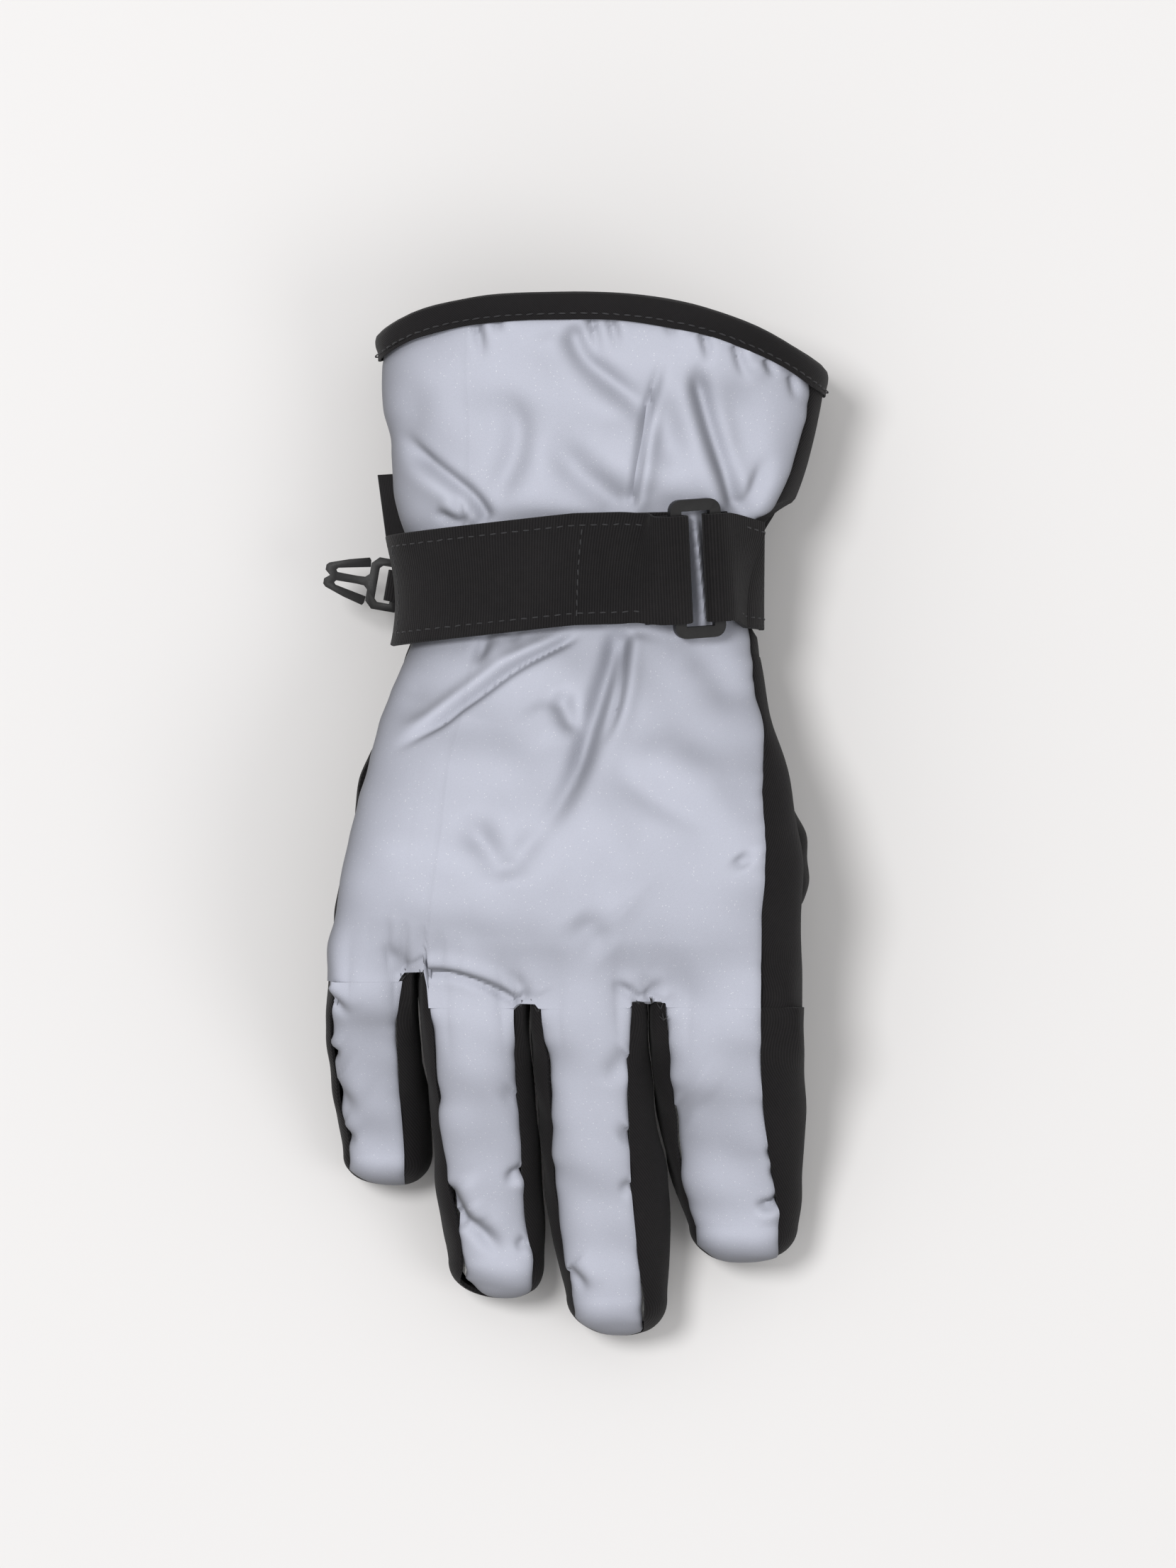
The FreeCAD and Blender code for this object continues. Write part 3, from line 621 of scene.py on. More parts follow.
BACK_FOLDS_CUFF = (
    # folds that fan up from the strap and down from the binding
    (((-0.9, 112), (1.6, 104), (8.3, 98), (14.4, 93.5), (19, 84)), 2, 1.5, -0.9, .12, .5),
    (((20.5, 106), (19.1, 100), (16.1, 90), (12.7, 68)), 0.75, 0.9, 0.7, .35, .12),
    (((27, 103), (28.4, 97), (31, 87.7), (34.4, 78.2), (37.5, 67)), 1.7, 2, -1, .2, .12),
    (((44.6, 84), (41, 75), (37.5, 67)), 1.3, 0.9, 0.8, .5, .1),
    (((-40.5, 88.5), (-35, 82), (-28.4, 77), (-22.3, 72.1), (-19, 66)), 1.3, 1.5, -0.7, .35, .08),
    (((-20, 98), (-13.5, 92), (-12, 84), (-17, 74), (-18.4, 68)), 2.6, 1.1, 0.6, .4, .3),
    (((-32, 69.5), (-28.5, 67.5), (-24.8, 66)), 0.9, 0.8, 0.5, .4, .1),
    (((-27, 74), (-25.4, 69.5), (-24.6, 66)), 0.8, 0.6, 0.4, .5, .1),
    (((-7.5, 88), (-1, 80), (6.5, 74), (13, 67.5)), 3, 1.5, 0.7, .4, .2),
    (((12.5, 98), (18.5, 93), (22, 84), (20.5, 74)), 3.2, 1, 0.5, .4, .4),
    (((33, 100), (38, 92), (39.5, 84), (36, 75)), 3, 0.8, 0.5, .4, .4),
    (((-33, 100), (-36.5, 92), (-38.5, 82)), 3.2, 0.7, 0.3, .5, .4),
    # puckers under the binding
    (((-22.5, 113), (-21, 107), (-20.5, 102)), 0.9, 0.8, 0.4, .05, .7),
    (((-17.6, 114), (-16.8, 108)), 0.7, 0.6, 0.3, .05, .7),
    (((3.5, 115), (5, 107.5), (6.6, 102.5)), 0.9, 0.9, -0.4, .05, .7),
    (((7.5, 114.5), (9.5, 108.5), (10.2, 104.5)), 0.8, 0.8, 0.4, .05, .7),
    (((21.5, 112.5), (22.5, 107)), 0.8, 0.6, 0.3, .05, .7),
    (((29, 109.8), (30.5, 104.5), (30, 101)), 0.9, 0.8, -0.4, .05, .7),
    (((36.5, 107), (37.8, 101.5), (40.5, 97.5)), 0.9, 0.8, 0.4, .05, .7),
    (((43.5, 103.8), (45.8, 98.5)), 0.9, 0.8, -0.4, .05, .7),
    (((49.5, 100), (50.5, 93.5)), 0.8, 0.6, 0.3, .05, .7),
)
BACK_FOLDS_HAND = (
    (((2.8, 42.5), (-5.5, 37.6), (-11.8, 34.3), (-22.6, 27.2), (-30.3, 20.9), (-42, 14.6)),
     0.75, 1.1, -0.9, .12, .3),
    (((-19.3, 43), (-20.4, 39), (-22.2, 33.5)), 1.3, 1.1, 0.5, .1, .5),
    (((-12.6, 43), (-14, 39)), 0.9, 0.6, 0.3, .1, .6),
    (((10.6, 44), (8.6, 35), (6, 27), (3.4, 19.3), (1, 11), (-4.1, 0.8), (-11.8, -7.4)),
     1.9, 2.1, 0.9, .06, .55),
    (((11.9, 43), (11.4, 37), (10.7, 28.5), (8.8, 21), (6, 15.1)), 0.7, 0.9, 0.6, .1, .4),
    (((-4.2, 29), (-1.5, 24), (1.2, 18)), 1.9, 1.3, -0.6, .3, .4),
    (((-25.5, 2), (-19.5, -6.5), (-14.5, -15.3)), 2.6, 1.3, 0.7, .4, .25),
    (((-14.5, -15.3), (-12, -8), (-6, -1.5)), 2.2, 0.9, 0.5, .3, .5),
    (((6.7, 14.7), (14, 7.5), (23.6, 0.8), (38.3, -3.1)), 3, 0.8, 1, .3, .3),
    (((37, -8), (39.5, -11.5)), 1.8, 0.8, 0.4, .4, .4),
    (((0.4, -21), (4, -26.5), (8.6, -30.5)), 3.2, 0.9, 0.4, .4, .4),
    (((-7, -10), (3, -12), (12, -15)), 4.5, 0.6, 0.5, .4, .4),
    (((25, 40), (33, 33), (38.5, 24)), 3.5, 0.8, 0.4, .3, .4),
    (((-34, 33), (-37, 26), (-37.5, 20)), 3.5, 0.7, 0.3, .4, .4),
    (((-33.8, -35.2), (-29, -35.4), (-24.8, -36.2), (-17.9, -38.6), (-12.4, -41.8)),
     0.7, 0.9, 0.8, .04, .05),
    (((8, -37), (12, -39.2), (15.4, -41.4)), 0.7, 0.6, 0.4, .5, .05),
    (((-44, -28), (-40.5, -31), (-38, -34.2)), 1.4, 0.5, 0.4, .6, .05),
    (((-15.5, -34), (-12.5, -37.5), (-11, -41)), 1.2, 0.5, 0.3, .6, .05),
    (((20.5, -36), (18.5, -39), (17.4, -41.4)), 1.1, 0.5, 0.3, .6, .05),
    (((15, -35), (16.6, -38.5), (16.9, -41.4)), 1, 0.4, 0.3, .6, .05),
)
BACK_FOLDS = BACK_FOLDS_CUFF + BACK_FOLDS_HAND


def back_swell(x, y):
    """Broad unevenness of the padded back, the same on the hand and the fingers."""
    return 0.75 * waves(x, y, 36.0, 5) + 0.22 * waves(x, y, 13.0, 8)


RING_AT, RING_LEAN = (27.8, 56.2), math.tan(math.radians(4.5))
RING_BULGE = 3.3               # the cloth rises into the ring's slot


def back_push(x, y):
    """How far the padded back stands off its plain form at a point."""
    push = back_swell(x, y)
    under_strap = np.exp(-((y - (54.2 + 0.03 * x)) / STRAP_BAND) ** 6)
    push = push * (1 - under_strap) + fold_height(x, y, BACK_FOLDS) * (1 - 0.9 * under_strap)
    swell = 0.9 * np.exp(-((y - 32.0) / 7.0) ** 2) + 0.8 * np.exp(-((y - 76.0) / 6.0) ** 2)
    in_ring = np.exp(-((x - RING_AT[0] + (y - RING_AT[1]) * RING_LEAN) / 1.6) ** 2)
    return (push - 0.35 * under_strap + swell * 0.6 * (1 - under_strap)
            + RING_BULGE * in_ring * under_strap)


def build_back_panel():
    """The back of the hand and cuff, in reflective cloth."""
    points, inside = hand_points(back_edge_right, back_edge_left, 232, 150)
    across, along = lengths(points)
    push = back_push(points[:, :, 0], points[:, :, 1])
    push = seamed(push, across, along, (0.5, 0.9), (0, 0.45, 3.0, 3.0, 11),
                  (1, 0.5, 3.5, 4.5, 12))
    rear = mouth_line(points[:, :, 0]) - points[:, :, 1]
    push -= 0.5 * np.exp(-np.maximum(rear - BINDING_DEPTH, 0) / 1.5)
    return finish_cloth("back_panel", points, inside, push, SHELL, ride="hand",
                        stands_for=["back_panel"], slot="reflective_fabric")


def build_side_panels():
    """Index side panel and cuff gusset, in plain black cloth."""
    points, inside = hand_points(palm_edge_right, back_edge_right, 170, 26)
    cut = np.argmin(np.abs(points[:, 13, 1] - GUSSET_TOP))
    pieces = []
    for name, part, seed in (("index_side_panel", slice(0, cut + 1), 21),
                             ("cuff_gusset", slice(cut, None), 22)):
        grid, core = points[part].copy(), inside[part]
        across, along = lengths(grid)
        y = grid[:, :, 1]
        push = 0.35 * waves(y, grid[:, :, 2], 24.0, seed)
        under_strap = np.exp(-((y - 55.5) / STRAP_BAND) ** 6)
        push = push * (1 - under_strap) - 0.5 * under_strap
        push = seamed(push, across, along, (0.6, 0.8), (1, 0.4, 2.5, 3.2, seed + 5))
        pieces.append(finish_cloth(name, grid, core, push, SHELL, ride="hand",
                                   stands_for=[name], slot="shell_fabric"))
    return pieces


def build_palm_panel():
    """The palm side of the hand and cuff."""
    points, inside = hand_points(back_edge_left, palm_edge_right_round, 170, 130)
    across, along = lengths(points)
    x, y = points[:, :, 0], points[:, :, 1]
    flat = ease((12.0 - points[:, :, 2]) / 10.0) * ease((y - 40.0) / 20.0)
    push = 0.6 * waves(x, y, 22.0, 31) * (1 - flat)
    gather = np.exp(-((y - 54.5) / 9.0) ** 2)
    push += -0.9 * gather * ripple(x, 3.2, 33) * (1 - 0.7 * flat)
    push = seamed(push, across, along, (0.6, 0.9), (0, 0.5, 3.0, 4.0, 34),
                  (1, 0.4, 3.0, 4.0, 35))
    edge = y - root_line(x)
    push *= 0.2 + 0.8 * ease(edge / 5.0)
    return finish_cloth("palm_panel", points, inside, push, SHELL, ride="hand",
                        stands_for=["palm_panel"], slot="shell_fabric")


def layer_depths(padding):
    """Start depth and thickness of padding, insert and lining."""
    depth, found = SHELL, {}
    for name, thick in (("insulation", padding), ("membrane", MEMBRANE), ("lining", LINING)):
        found[name] = (depth + LAYER_GAP, thick)
        depth += LAYER_GAP + thick
    return found


def build_hand_layers():
    """Padding over back and palm, waterproof insert, and the brushed lining seen in the cuff."""
    depths = layer_depths(HAND_PADDING)
    pieces = []

    for name, first, last in (
            ("back_insulation", steady(0.02), back_edge_left),
            ("palm_insulation", lambda y: back_edge_left(y) + 0.01, steady(FULL_TURN - 0.02))):
        start, thick = depths["insulation"]
        points, inside = hand_points(first, last, 90, 90, inset=start + 0.6, rear=3.0, front=1.0)
        push = 0.2 * waves(points[:, :, 0], points[:, :, 1], 12.0, 41)
        if name == "back_insulation":
            push = np.minimum(back_push(points[:, :, 0], points[:, :, 1]) - 0.2, 0.2)
        pieces.append(finish_cloth(name, points, inside, push, thick - 1.0, ride="hand",
                                   stands_for=[name], slot="padding"))

    for name in ("membrane", "lining"):
        start, thick = depths[name]
        points, inside = hand_points(*WHOLE_ROUND, 120, 160, inset=start + 0.1, rear=2.2,
                                     front=1.0)
        points[:, -1] = points[:, 0]
        x, y = points[:, :, 0], points[:, :, 1]
        push = np.minimum(back_push(x, y), 0.0) * (points[:, :, 2] > inside[:, 2:3])
        if name == "lining":
            push = push - 0.35 - 0.35 * waves(x + points[:, :, 2], y, 16.0, 43)
        pieces.append(finish_cloth("hand_" + name, points, inside, push, thick * 0.9,
                                   ride="hand", stands_for=["hand_" + name],
                                   slot=LAYER_SLOTS[name]))
    return pieces


# ------ fingers
FINGER_FOLDS = {
    # pinky: (line, width, depth, lip, fades); lines run on the back of the finger
    "pinky": (
        (((-56.5, -40.2), (-53, -42.6), (-50.5, -45.6)), 1, 0.9, 0.5, .05, .6),
        (((-56.5, -53), (-52.8, -54.6)), 0.9, 0.8, 0.5, .05, .6),
        (((-56, -61), (-51, -66), (-48, -68)), 1.6, 0.9, 0.5, .05, .6),
        (((-53.5, -72), (-49, -74.5)), 1.1, 0.8, 0.4, .05, .6),
    ),
    "ring": (
        (((-29.5, -83), (-25.5, -91.5), (-19.5, -96), (-15.4, -100.6)), 1.5, 1.3, 0.9, .15, .35),
        (((-27.4, -89.6), (-25, -94.4)), 1.3, 0.9, 0.5, .2, .4),
        (((-11, -80.4), (-13.6, -81.4), (-16, -83.6)), 1, 0.9, 0.6, .05, .6),
        (((-10.6, -96.4), (-13.6, -98.6)), 1, 0.6, 0.4, .05, .6),
        (((-12.6, -62), (-16, -66)), 2.2, 0.4, 0.3, .1, .5),
    ),
    "middle": (
        (((-1, -102.6), (1.8, -105.4), (3.8, -109)), 1.1, 0.8, 0.5, .05, .6),
        (((13.3, -83.6), (9.5, -84.8)), 1.2, 0.7, 0.4, .05, .7),
        (((13.2, -54), (9.6, -57.5), (8.8, -62)), 2.4, 0.8, 0.5, .1, .5),
        (((13.2, -71), (10.5, -74)), 1.8, 0.7, 0.4, .1, .5),
    ),
    "index": (
        (((48, -86.6), (44.4, -88.6), (40.6, -88.3)), 0.9, 1.2, 0.9, .05, .5),
        (((47.2, -80.5), (44.5, -82.4)), 1.2, 0.8, 0.5, .05, .6),
        (((46, -76), (43.5, -77.4)), 1.1, 0.7, 0.4, .05, .6),
        (((22, -66), (27, -70)), 2.6, 0.5, 0.3, .1, .5),
    ),
}
FINGER_BEND = 24.0             # a finger's cloth turns from hand to finger over this length


def finger_points(size, first, last, columns, start=None, inset=0.0, finest=0.75):
    """Points of a finger panel; first and last give a turn from (ring, y)."""
    start = size["base"] if start is None else start
    straight = size["rows"][-1][0]
    body = np.arange(start, straight, -finest)
    turn = np.linspace(0, math.pi / 2, 16)
    tip = size["tip"] + inset
    y = np.concatenate([body, straight + (tip - straight) * np.sin(turn)])
    ring = finger_ring(size, y)
    centre, half, middle, tall = ring[:4]
    past = np.clip((straight - y) / (straight - tip), 0.0, 1.0)
    close = tip_close(past)
    half, tall = np.maximum(half - inset * close, 0.0), np.maximum(tall - inset * close, 0.0)
    if inset:
        outer = tip_close(np.clip((straight - y) / (straight - size["tip"]), 0, 1))
        shrink = np.where(outer > 0.05, close / np.maximum(outer, 0.05), 0.0)
        half, tall = half * shrink, tall * shrink
    turns = even_turns(first(ring, y), last(ring, y), half, tall, FINGER_SQUARENESS, columns)
    x, z = section_point(turns, (centre[:, None], middle[:, None]),
                         (half[:, None], tall[:, None]), FINGER_SQUARENESS)
    long = np.repeat(y[:, None], columns, axis=1)
    target = np.where(np.sin(turns) >= 0, root_height(x, long, 1) - inset,
                      root_height(x, long, -1) + inset)
    near = ease(1 - (size["base"] - long) / ROOT_BAND)
    z = z + (target - z) * near * ease(np.abs(np.sin(turns)) / 0.5)
    points = np.stack([x, long, z], axis=2)
    inside = np.stack([centre, np.maximum(y, straight + 2), middle], axis=1)
    return points, inside


def finger_seam(number):
    """Edge of a finger's panel along one of the two seams of its section."""
    return lambda ring, y: turn_across(ring[number], ring[0], ring[1], FINGER_SQUARENESS)


seam_left, seam_right = finger_seam(4), finger_seam(5)
UNDER = turn_down(1 - 2 * PALM_SHARE, FINGER_SQUARENESS)
under_left, under_right = steady(math.pi + UNDER), steady(-UNDER)
under_right_round = steady(FULL_TURN - UNDER)


def finger_blend(name, size):
    """Blend of a finger's cloth from the hand at its root to the finger further on, as two bodies
    and two points; a piece given one is only baked in place here.
    """
    base = size["base"]
    return ("hand", name + "_finger", (0.0, base + 1.0, 20.0), (0.0, base - FINGER_BEND, 20.0))


def build_finger(name):
    """Shell, padding, insert and lining of one finger."""
    size = FINGERS[name]
    seed = 50 + 10 * list(FINGERS).index(name)
    blend = finger_blend(name, size)
    left_web, right_web = size["webs"]
    pieces = []
    panels = (
        ("back", seam_right, seam_left, 40, size["base"], "reflective_fabric", 0.7),
        ("side_left", seam_left, under_left, 16, left_web, "shell_fabric", 0.5),
        ("side_right", under_right, seam_right, 24, right_web, "shell_fabric", 0.5),
        ("palm", under_left, under_right_round, 34, size["base"], "shell_fabric", 0.6),
    )
    for number, (panel, first, last, columns, start, slot, fill) in enumerate(panels):
        points, inside = finger_points(size, first, last, columns, start)
        across, along = lengths(points)
        x, y = points[:, :, 0], points[:, :, 1]
        from_root = size["base"] - y
        to_tip = y - size["tip"]
        if panel == "back":
            push = back_swell(x, y) + fold_height(x, y, BACK_FOLDS_HAND + FINGER_FOLDS[name])
            push = seamed(push, across, along, (0.5, 0.9), (1, 0.75, 3.2, 4.6, seed + 1),
                          (0, 0.4, 2.6, 3.6, seed + 2))
        elif panel == "palm":
            push = 0.45 * waves(x, y, 15.0, seed + 3)
            push = seamed(push, across, along, (0.6, 0.8), (0, 0.5, 2.5, 4.0, seed + 4))
            push *= 0.2 + 0.8 * ease(from_root / 5.0)
        else:
            push = 0.3 * waves(y, points[:, :, 2], 17.0, seed + 5 + number)
            edge = 0 if panel == "side_left" else 1
            push = seamed(push, across, along, (0.35, 0.8), (edge, 0.3, 1.6, 4.6, seed + 1 + edge))
        push *= ease(0.15 + to_tip / 3.0)
        pieces.append(finish_cloth(name + "_" + panel, points, inside, push, SHELL, blend=blend,
                                   stands_for=[name + "_" + panel], slot=slot))

    for layer, (start, thick) in layer_depths(FINGER_PADDING).items():
        points, inside = finger_points(size, *WHOLE_ROUND, 40, size["base"] - 1.0,
                                       inset=start + 1.3, finest=2.0)
        points[:, -1] = points[:, 0]
        dents = fold_height(points[:, :, 0], points[:, :, 1], BACK_FOLDS_HAND + FINGER_FOLDS[name])
        push = np.minimum(dents, 0.0) * (points[:, :, 2] > inside[:, 2:3])
        pieces.append(finish_cloth(name + "_" + layer, points, inside, push, thick * 0.8,
                                   blend=blend, stands_for=[name + "_" + layer],
                                   slot=LAYER_SLOTS[layer]))
    return pieces


# ------ thumb
def thumb_points(first, last, columns, inset=0.0, begin=-3.0, finest=0.8):
    """Points of a thumb panel, from its root towards the palm's middle."""
    t = THUMB
    length = t["root_x"] - t["tip_x"]
    reach = length - inset
    straight = length - t["round"]
    body = np.arange(begin, straight, finest)
    turn = np.linspace(0, math.pi / 2, 18)
    s = np.concatenate([body, straight + (reach - straight) * np.sin(turn)])
    share, drop = s / length, np.clip(s / straight, -0.2, 1.0)
    past = np.clip((s - straight) / (reach - straight), 0.0, 1.0)
    close = np.sqrt(1 - past**2)
    high = t["root_high"] + (t["tip_high"] - t["root_high"]) * drop
    half = (t["root_half"] + (t["tip_half"] - t["root_half"]) * share - inset) * close
    centre = t["root_y"] + (t["tip_y"] - t["root_y"]) * share
    tall = (high - TIP_LOW) / 2 - inset
    middle = (high + TIP_LOW) / 2 - (1 - close) * tall * 0.35
    tall = tall * close
    size = len(s)
    turns = even_turns(np.full(size, first), np.full(size, last), half, tall,
                       FINGER_SQUARENESS, columns)
    y, z = section_point(turns, (centre[:, None], middle[:, None]),
                         (half[:, None], tall[:, None]), FINGER_SQUARENESS)
    points = np.stack([np.repeat((t["root_x"] - s)[:, None], columns, axis=1), y, z], axis=2)
    core = np.minimum(s, straight - 2)
    inside = np.stack([t["root_x"] - core, centre, middle], axis=1)
    return points, inside


def build_thumb():
    """Both faces of the thumb and its inner layers."""
    blend = ("hand", "thumb", (37.0, -10.0, 12.0), (18.0, -17.0, 12.0))
    pieces = []
    for name, first, last, seed in (("thumb_back", math.pi, 2 * math.pi, 91),
                                    ("thumb_front", 0.0, math.pi, 92)):
        points, inside = thumb_points(first, last, 56)
        across, along = lengths(points)
        x, y = points[:, :, 0], points[:, :, 1]
        push = seamed(0.4 * waves(x, y, 16.0, seed), across, along, (0.55, 0.8),
                      (0, 0.5, 2.5, 3.8, seed + 2), (1, 0.5, 2.5, 4.2, seed + 3))
        push *= ease(0.15 + (x - THUMB["tip_x"]) / 3.0)
        pieces.append(finish_cloth(name, points, inside, push - 0.1, SHELL, blend=blend,
                                   stands_for=[name], slot="shell_fabric"))
    for layer, (start, thick) in layer_depths(FINGER_PADDING).items():
        points, inside = thumb_points(-0.5 * math.pi, 1.5 * math.pi, 40, inset=start + 0.4,
                                      begin=1.0, finest=2.0)
        points[:, -1] = points[:, 0]
        pieces.append(finish_cloth("thumb_" + layer, points, inside, np.zeros(points.shape[:2]),
                                   thick * 0.8, blend=blend, stands_for=["thumb_" + layer],
                                   slot=LAYER_SLOTS[layer]))
    return pieces


def build_thumb_gusset():
    """The pouch on the index side that carries the thumb, closed against the palm."""
    keys = np.array(POUCH)
    order = np.linspace(0, len(keys) - 1, 46)
    rows = np.stack([np.interp(order, np.arange(len(keys)), keys[:, c]) for c in range(5)], axis=1)
    kernel = np.array([0.25, 0.5, 0.25])
    for _ in range(5):
        soft = np.stack([np.convolve(np.pad(rows[:, c], 1, mode="edge"), kernel, "valid")
                         for c in range(5)], axis=1)
        soft[0], soft[-1] = rows[0], rows[-1]
        rows = soft
    columns = 90
    turn = np.linspace(0, 2 * math.pi, columns + 1)[:-1]
    y, z = section_point(turn[None, :], (rows[:, 1:2], (rows[:, 3:4] + rows[:, 4:5]) / 2),
                         (rows[:, 2:3], (rows[:, 4:5] - rows[:, 3:4]) / 2), FINGER_SQUARENESS)
    x = np.repeat(rows[:, 0:1], columns, axis=1)
    z = np.maximum(z, 0.3)
    right = hand_ring(y)[1]
    within = x < (right - 0.5)
    z = np.where(within, np.minimum(z, hand_under(np.minimum(x, right - 0.5), y) + 0.6), z)
    points = np.stack([x, y, z], axis=2)
    inside = np.stack([rows[:, 0] * 0 + 42.0, rows[:, 1], (rows[:, 3] + rows[:, 4]) / 2], axis=1)
    push = 0.35 * waves(y, z, 14.0, 97)
    push -= 0.6 * ripple(y[0][None, :] + 0 * y, 4.0, 98) * ease((x - 40.0) / 8.0)
    push *= ease((x - 35.0) / 4.0) * np.where(within & (z > 20), 0.2, 1.0)
    return finish_cloth("thumb_gusset", points, inside, push, SHELL, closed=True, ride="hand",
                        stands_for=["thumb_gusset"], slot="shell_fabric")


def build_wrist_elastic():
    """Elastic that gathers the palm side of the wrist, under the shell."""
    points, inside = hand_points(lambda y: back_edge_left(y) + 0.05,
                                 lambda y: palm_edge_right_round(y) - 0.02, 300, 150, inset=1.5)
    rows = np.where((points[:, 75, 1] > 49.2) & (points[:, 75, 1] < 59.8))[0]
    points, inside = points[rows], inside[rows]
    push = 0.12 * np.sin(points[:, :, 0] * 2 * math.pi / 1.6)
    return finish_cloth("wrist_elastic", points, inside, push - 0.1, 0.7, ride="hand",
                        stands_for=["wrist_elastic"], slot="elastic")


# ------ cuff binding
def binding_point(turn, depth_in, back):
    """A point of the mouth's edge: turn round it, depth inwards from the shell's face, y back."""
    y = np.full(turn.shape, 112.0)
    for _ in range(5):
        x, z = on_hand_section(turn, y, depth_in)
        y = mouth_line(x) - back
    return np.stack([x, y, z], axis=-1)


def build_cuff_binding():
    """Tape folded over the cuff's mouth: wall outside, rounded edge, wall inside."""
    # depth inwards from the shell's face, and distance back from the mouth
    path = np.array([(0.05, 6.45), (-0.7, 6.5), (-0.95, 6.2), (-1.05, 4.6), (-1.15, 3.0),
                     (-1.1, 1.6), (-0.7, 0.6), (0.3, 0.12), (2.0, 0.0), (4.2, 0.0),
                     (6.0, 0.3), (6.6, 1.0), (6.8, 2.4), (6.8, 4.6), (6.7, 6.3), (6.1, 6.4)])
    fine = np.linspace(0, len(path) - 1, 44)
    path = np.stack([np.interp(fine, np.arange(len(path)), path[:, c]) for c in (0, 1)], axis=1)
    columns = 420
    turn = np.linspace(0, 2 * math.pi, columns + 1)[:-1]
    points = np.stack([binding_point(turn, depth, back) for depth, back in path])
    inner = np.stack([binding_point(turn, 2.9, 3.4)])
    along = np.concatenate([[0], np.cumsum(np.hypot(*np.diff(inner[0][:, [0, 2]], axis=0).T))])
    wave = ripple(along, 7.0, 61)
    outer = np.exp(-((path[:, 1] - 4.8) / 1.5) ** 2) * (path[:, 0] < 0)
    points = points + normals_like(points, inner) * (
        (-0.28 * outer[:, None]) * (0.5 + wave[None, :])
        + 0.12 * waves(points[:, :, 0], points[:, :, 2] + points[:, :, 1], 15.0, 62))[:, :, None]
    points[:, :, 2] = np.maximum(points[:, :, 2], SEAT)
    uv = np.stack(np.broadcast_arrays(along[None, :], np.cumsum(np.concatenate(
        [[0], np.hypot(*np.diff(path, axis=0).T)]))[:, None]), axis=2) * MM
    centre = np.repeat(np.mean(inner[0], axis=0)[None, :], len(path), axis=0)
    piece = cloth_mesh("cuff_binding", points, centre, True, uv)
    fix_outward(piece, inner[0])
    thicken(piece, 0.75)
    for vertex in piece.data.vertices:
        vertex.co.z = max(vertex.co.z, SEAT * MM)
    smooth(piece, 60)
    return finish_piece(piece, "hand", None, ["cuff_binding"], "binding_tape")


def normals_like(points, core):
    """Normals of a rolled edge that look away from the line in its middle."""
    found = normals_of(points, True)
    away = points - core
    turned = np.sign(np.sum(np.einsum("ijk,ijk->ij", found, away)))
    return found * turned


def fix_outward(piece, core):
    """Turns all faces if most of them look towards the core line."""
    near = core * MM
    score = 0.0
    for face in list(piece.data.polygons)[::17]:
        centre = np.array(face.center)
        closest = near[np.argmin(np.sum((near - centre) ** 2, axis=1))]
        score += np.sign(np.dot(np.array(face.normal), centre - closest))
    if score < 0:
        piece.data.flip_normals()


# ------ wrist strap
STRAP_HALF = 12.6
RING_CENTRE = (27.8, 56.2, 46.257)
RING_TURN = (Matrix.Rotation(math.radians(4.5), 3, "Z") @ Matrix.Rotation(math.radians(16.4), 3, "Y")
             @ Matrix.Rotation(math.radians(6.0), 3, "X"))
RING_SIZE = (11.9, 31.4, 2.2)
RING_BAR = 2.6
FOLD_HALF = 12.2
STRAP_THICK = 1.25
SEAM_X = 1.2                   # a seam across the strap, where its under-layer ends


def ring_to_hand(points):
    """Points of the ring's own frame in the glove's frame."""
    turn = np.array(RING_TURN)
    return np.einsum("ij,...j->...i", turn, points) + np.array(RING_CENTRE)


def strap_on_hand(turns, across, level, half=STRAP_HALF):
    """Points on the hand for turns (columns) and shares across the strap (rows, -1 to 1)."""
    turn = np.repeat(np.asarray(turns, float)[None, :], len(across), axis=0)
    share = np.repeat(np.asarray(across, float)[:, None], turn.shape[1], axis=1)
    y = np.full(turn.shape, 54.0)
    for _ in range(5):
        x, z = on_hand_section(turn, y, -level)
        y = strap_y(x) + share * half
    hold = ease((x - 38.0) / 6.0)
    x = x - hold * np.maximum(0.0, x - STRAP_WAIST - level)
    return np.stack([x, y, z], axis=-1)


def turns_for(values, level, axis, side):
    """Turns at which the strap's middle reaches the given x (axis 0) or z (axis 2) values."""
    low, high = {"left": (math.pi / 2, math.pi + 0.5), "right": (-0.5, math.pi / 2),
                 "top": (0.02, math.pi - 0.02)}[side]
    turn = np.linspace(low, high, 500)
    found = strap_on_hand(turn, np.array([0.0]), level)[0, :, axis]
    order = np.argsort(found)
    return np.interp(values, found[order], turn[order])


def round_path(points, count):
    """An even, smooth run through control points along the last-but-one axis."""
    work = points
    for _ in range(2):
        first = work[..., :-1, :] * 0.75 + work[..., 1:, :] * 0.25
        second = work[..., :-1, :] * 0.25 + work[..., 1:, :] * 0.75
        mixed = np.stack([first, second], axis=-2)
        mixed = mixed.reshape(*mixed.shape[:-3], -1, 3)
        work = np.concatenate([work[..., :1, :], mixed, work[..., -1:, :]], axis=-2)
    mean = work.mean(axis=0) if work.ndim == 3 else work
    length = np.concatenate([[0], np.cumsum(np.linalg.norm(np.diff(mean, axis=0), axis=1))])
    wanted = np.linspace(0, length[-1], count)
    place = np.clip(np.searchsorted(length, wanted, side="right") - 1, 0, len(length) - 2)
    part = ((wanted - length[place]) / np.maximum(length[place + 1] - length[place], 1e-9))
    return work[..., place, :] * (1 - part)[:, None] + work[..., place + 1, :] * part[:, None]


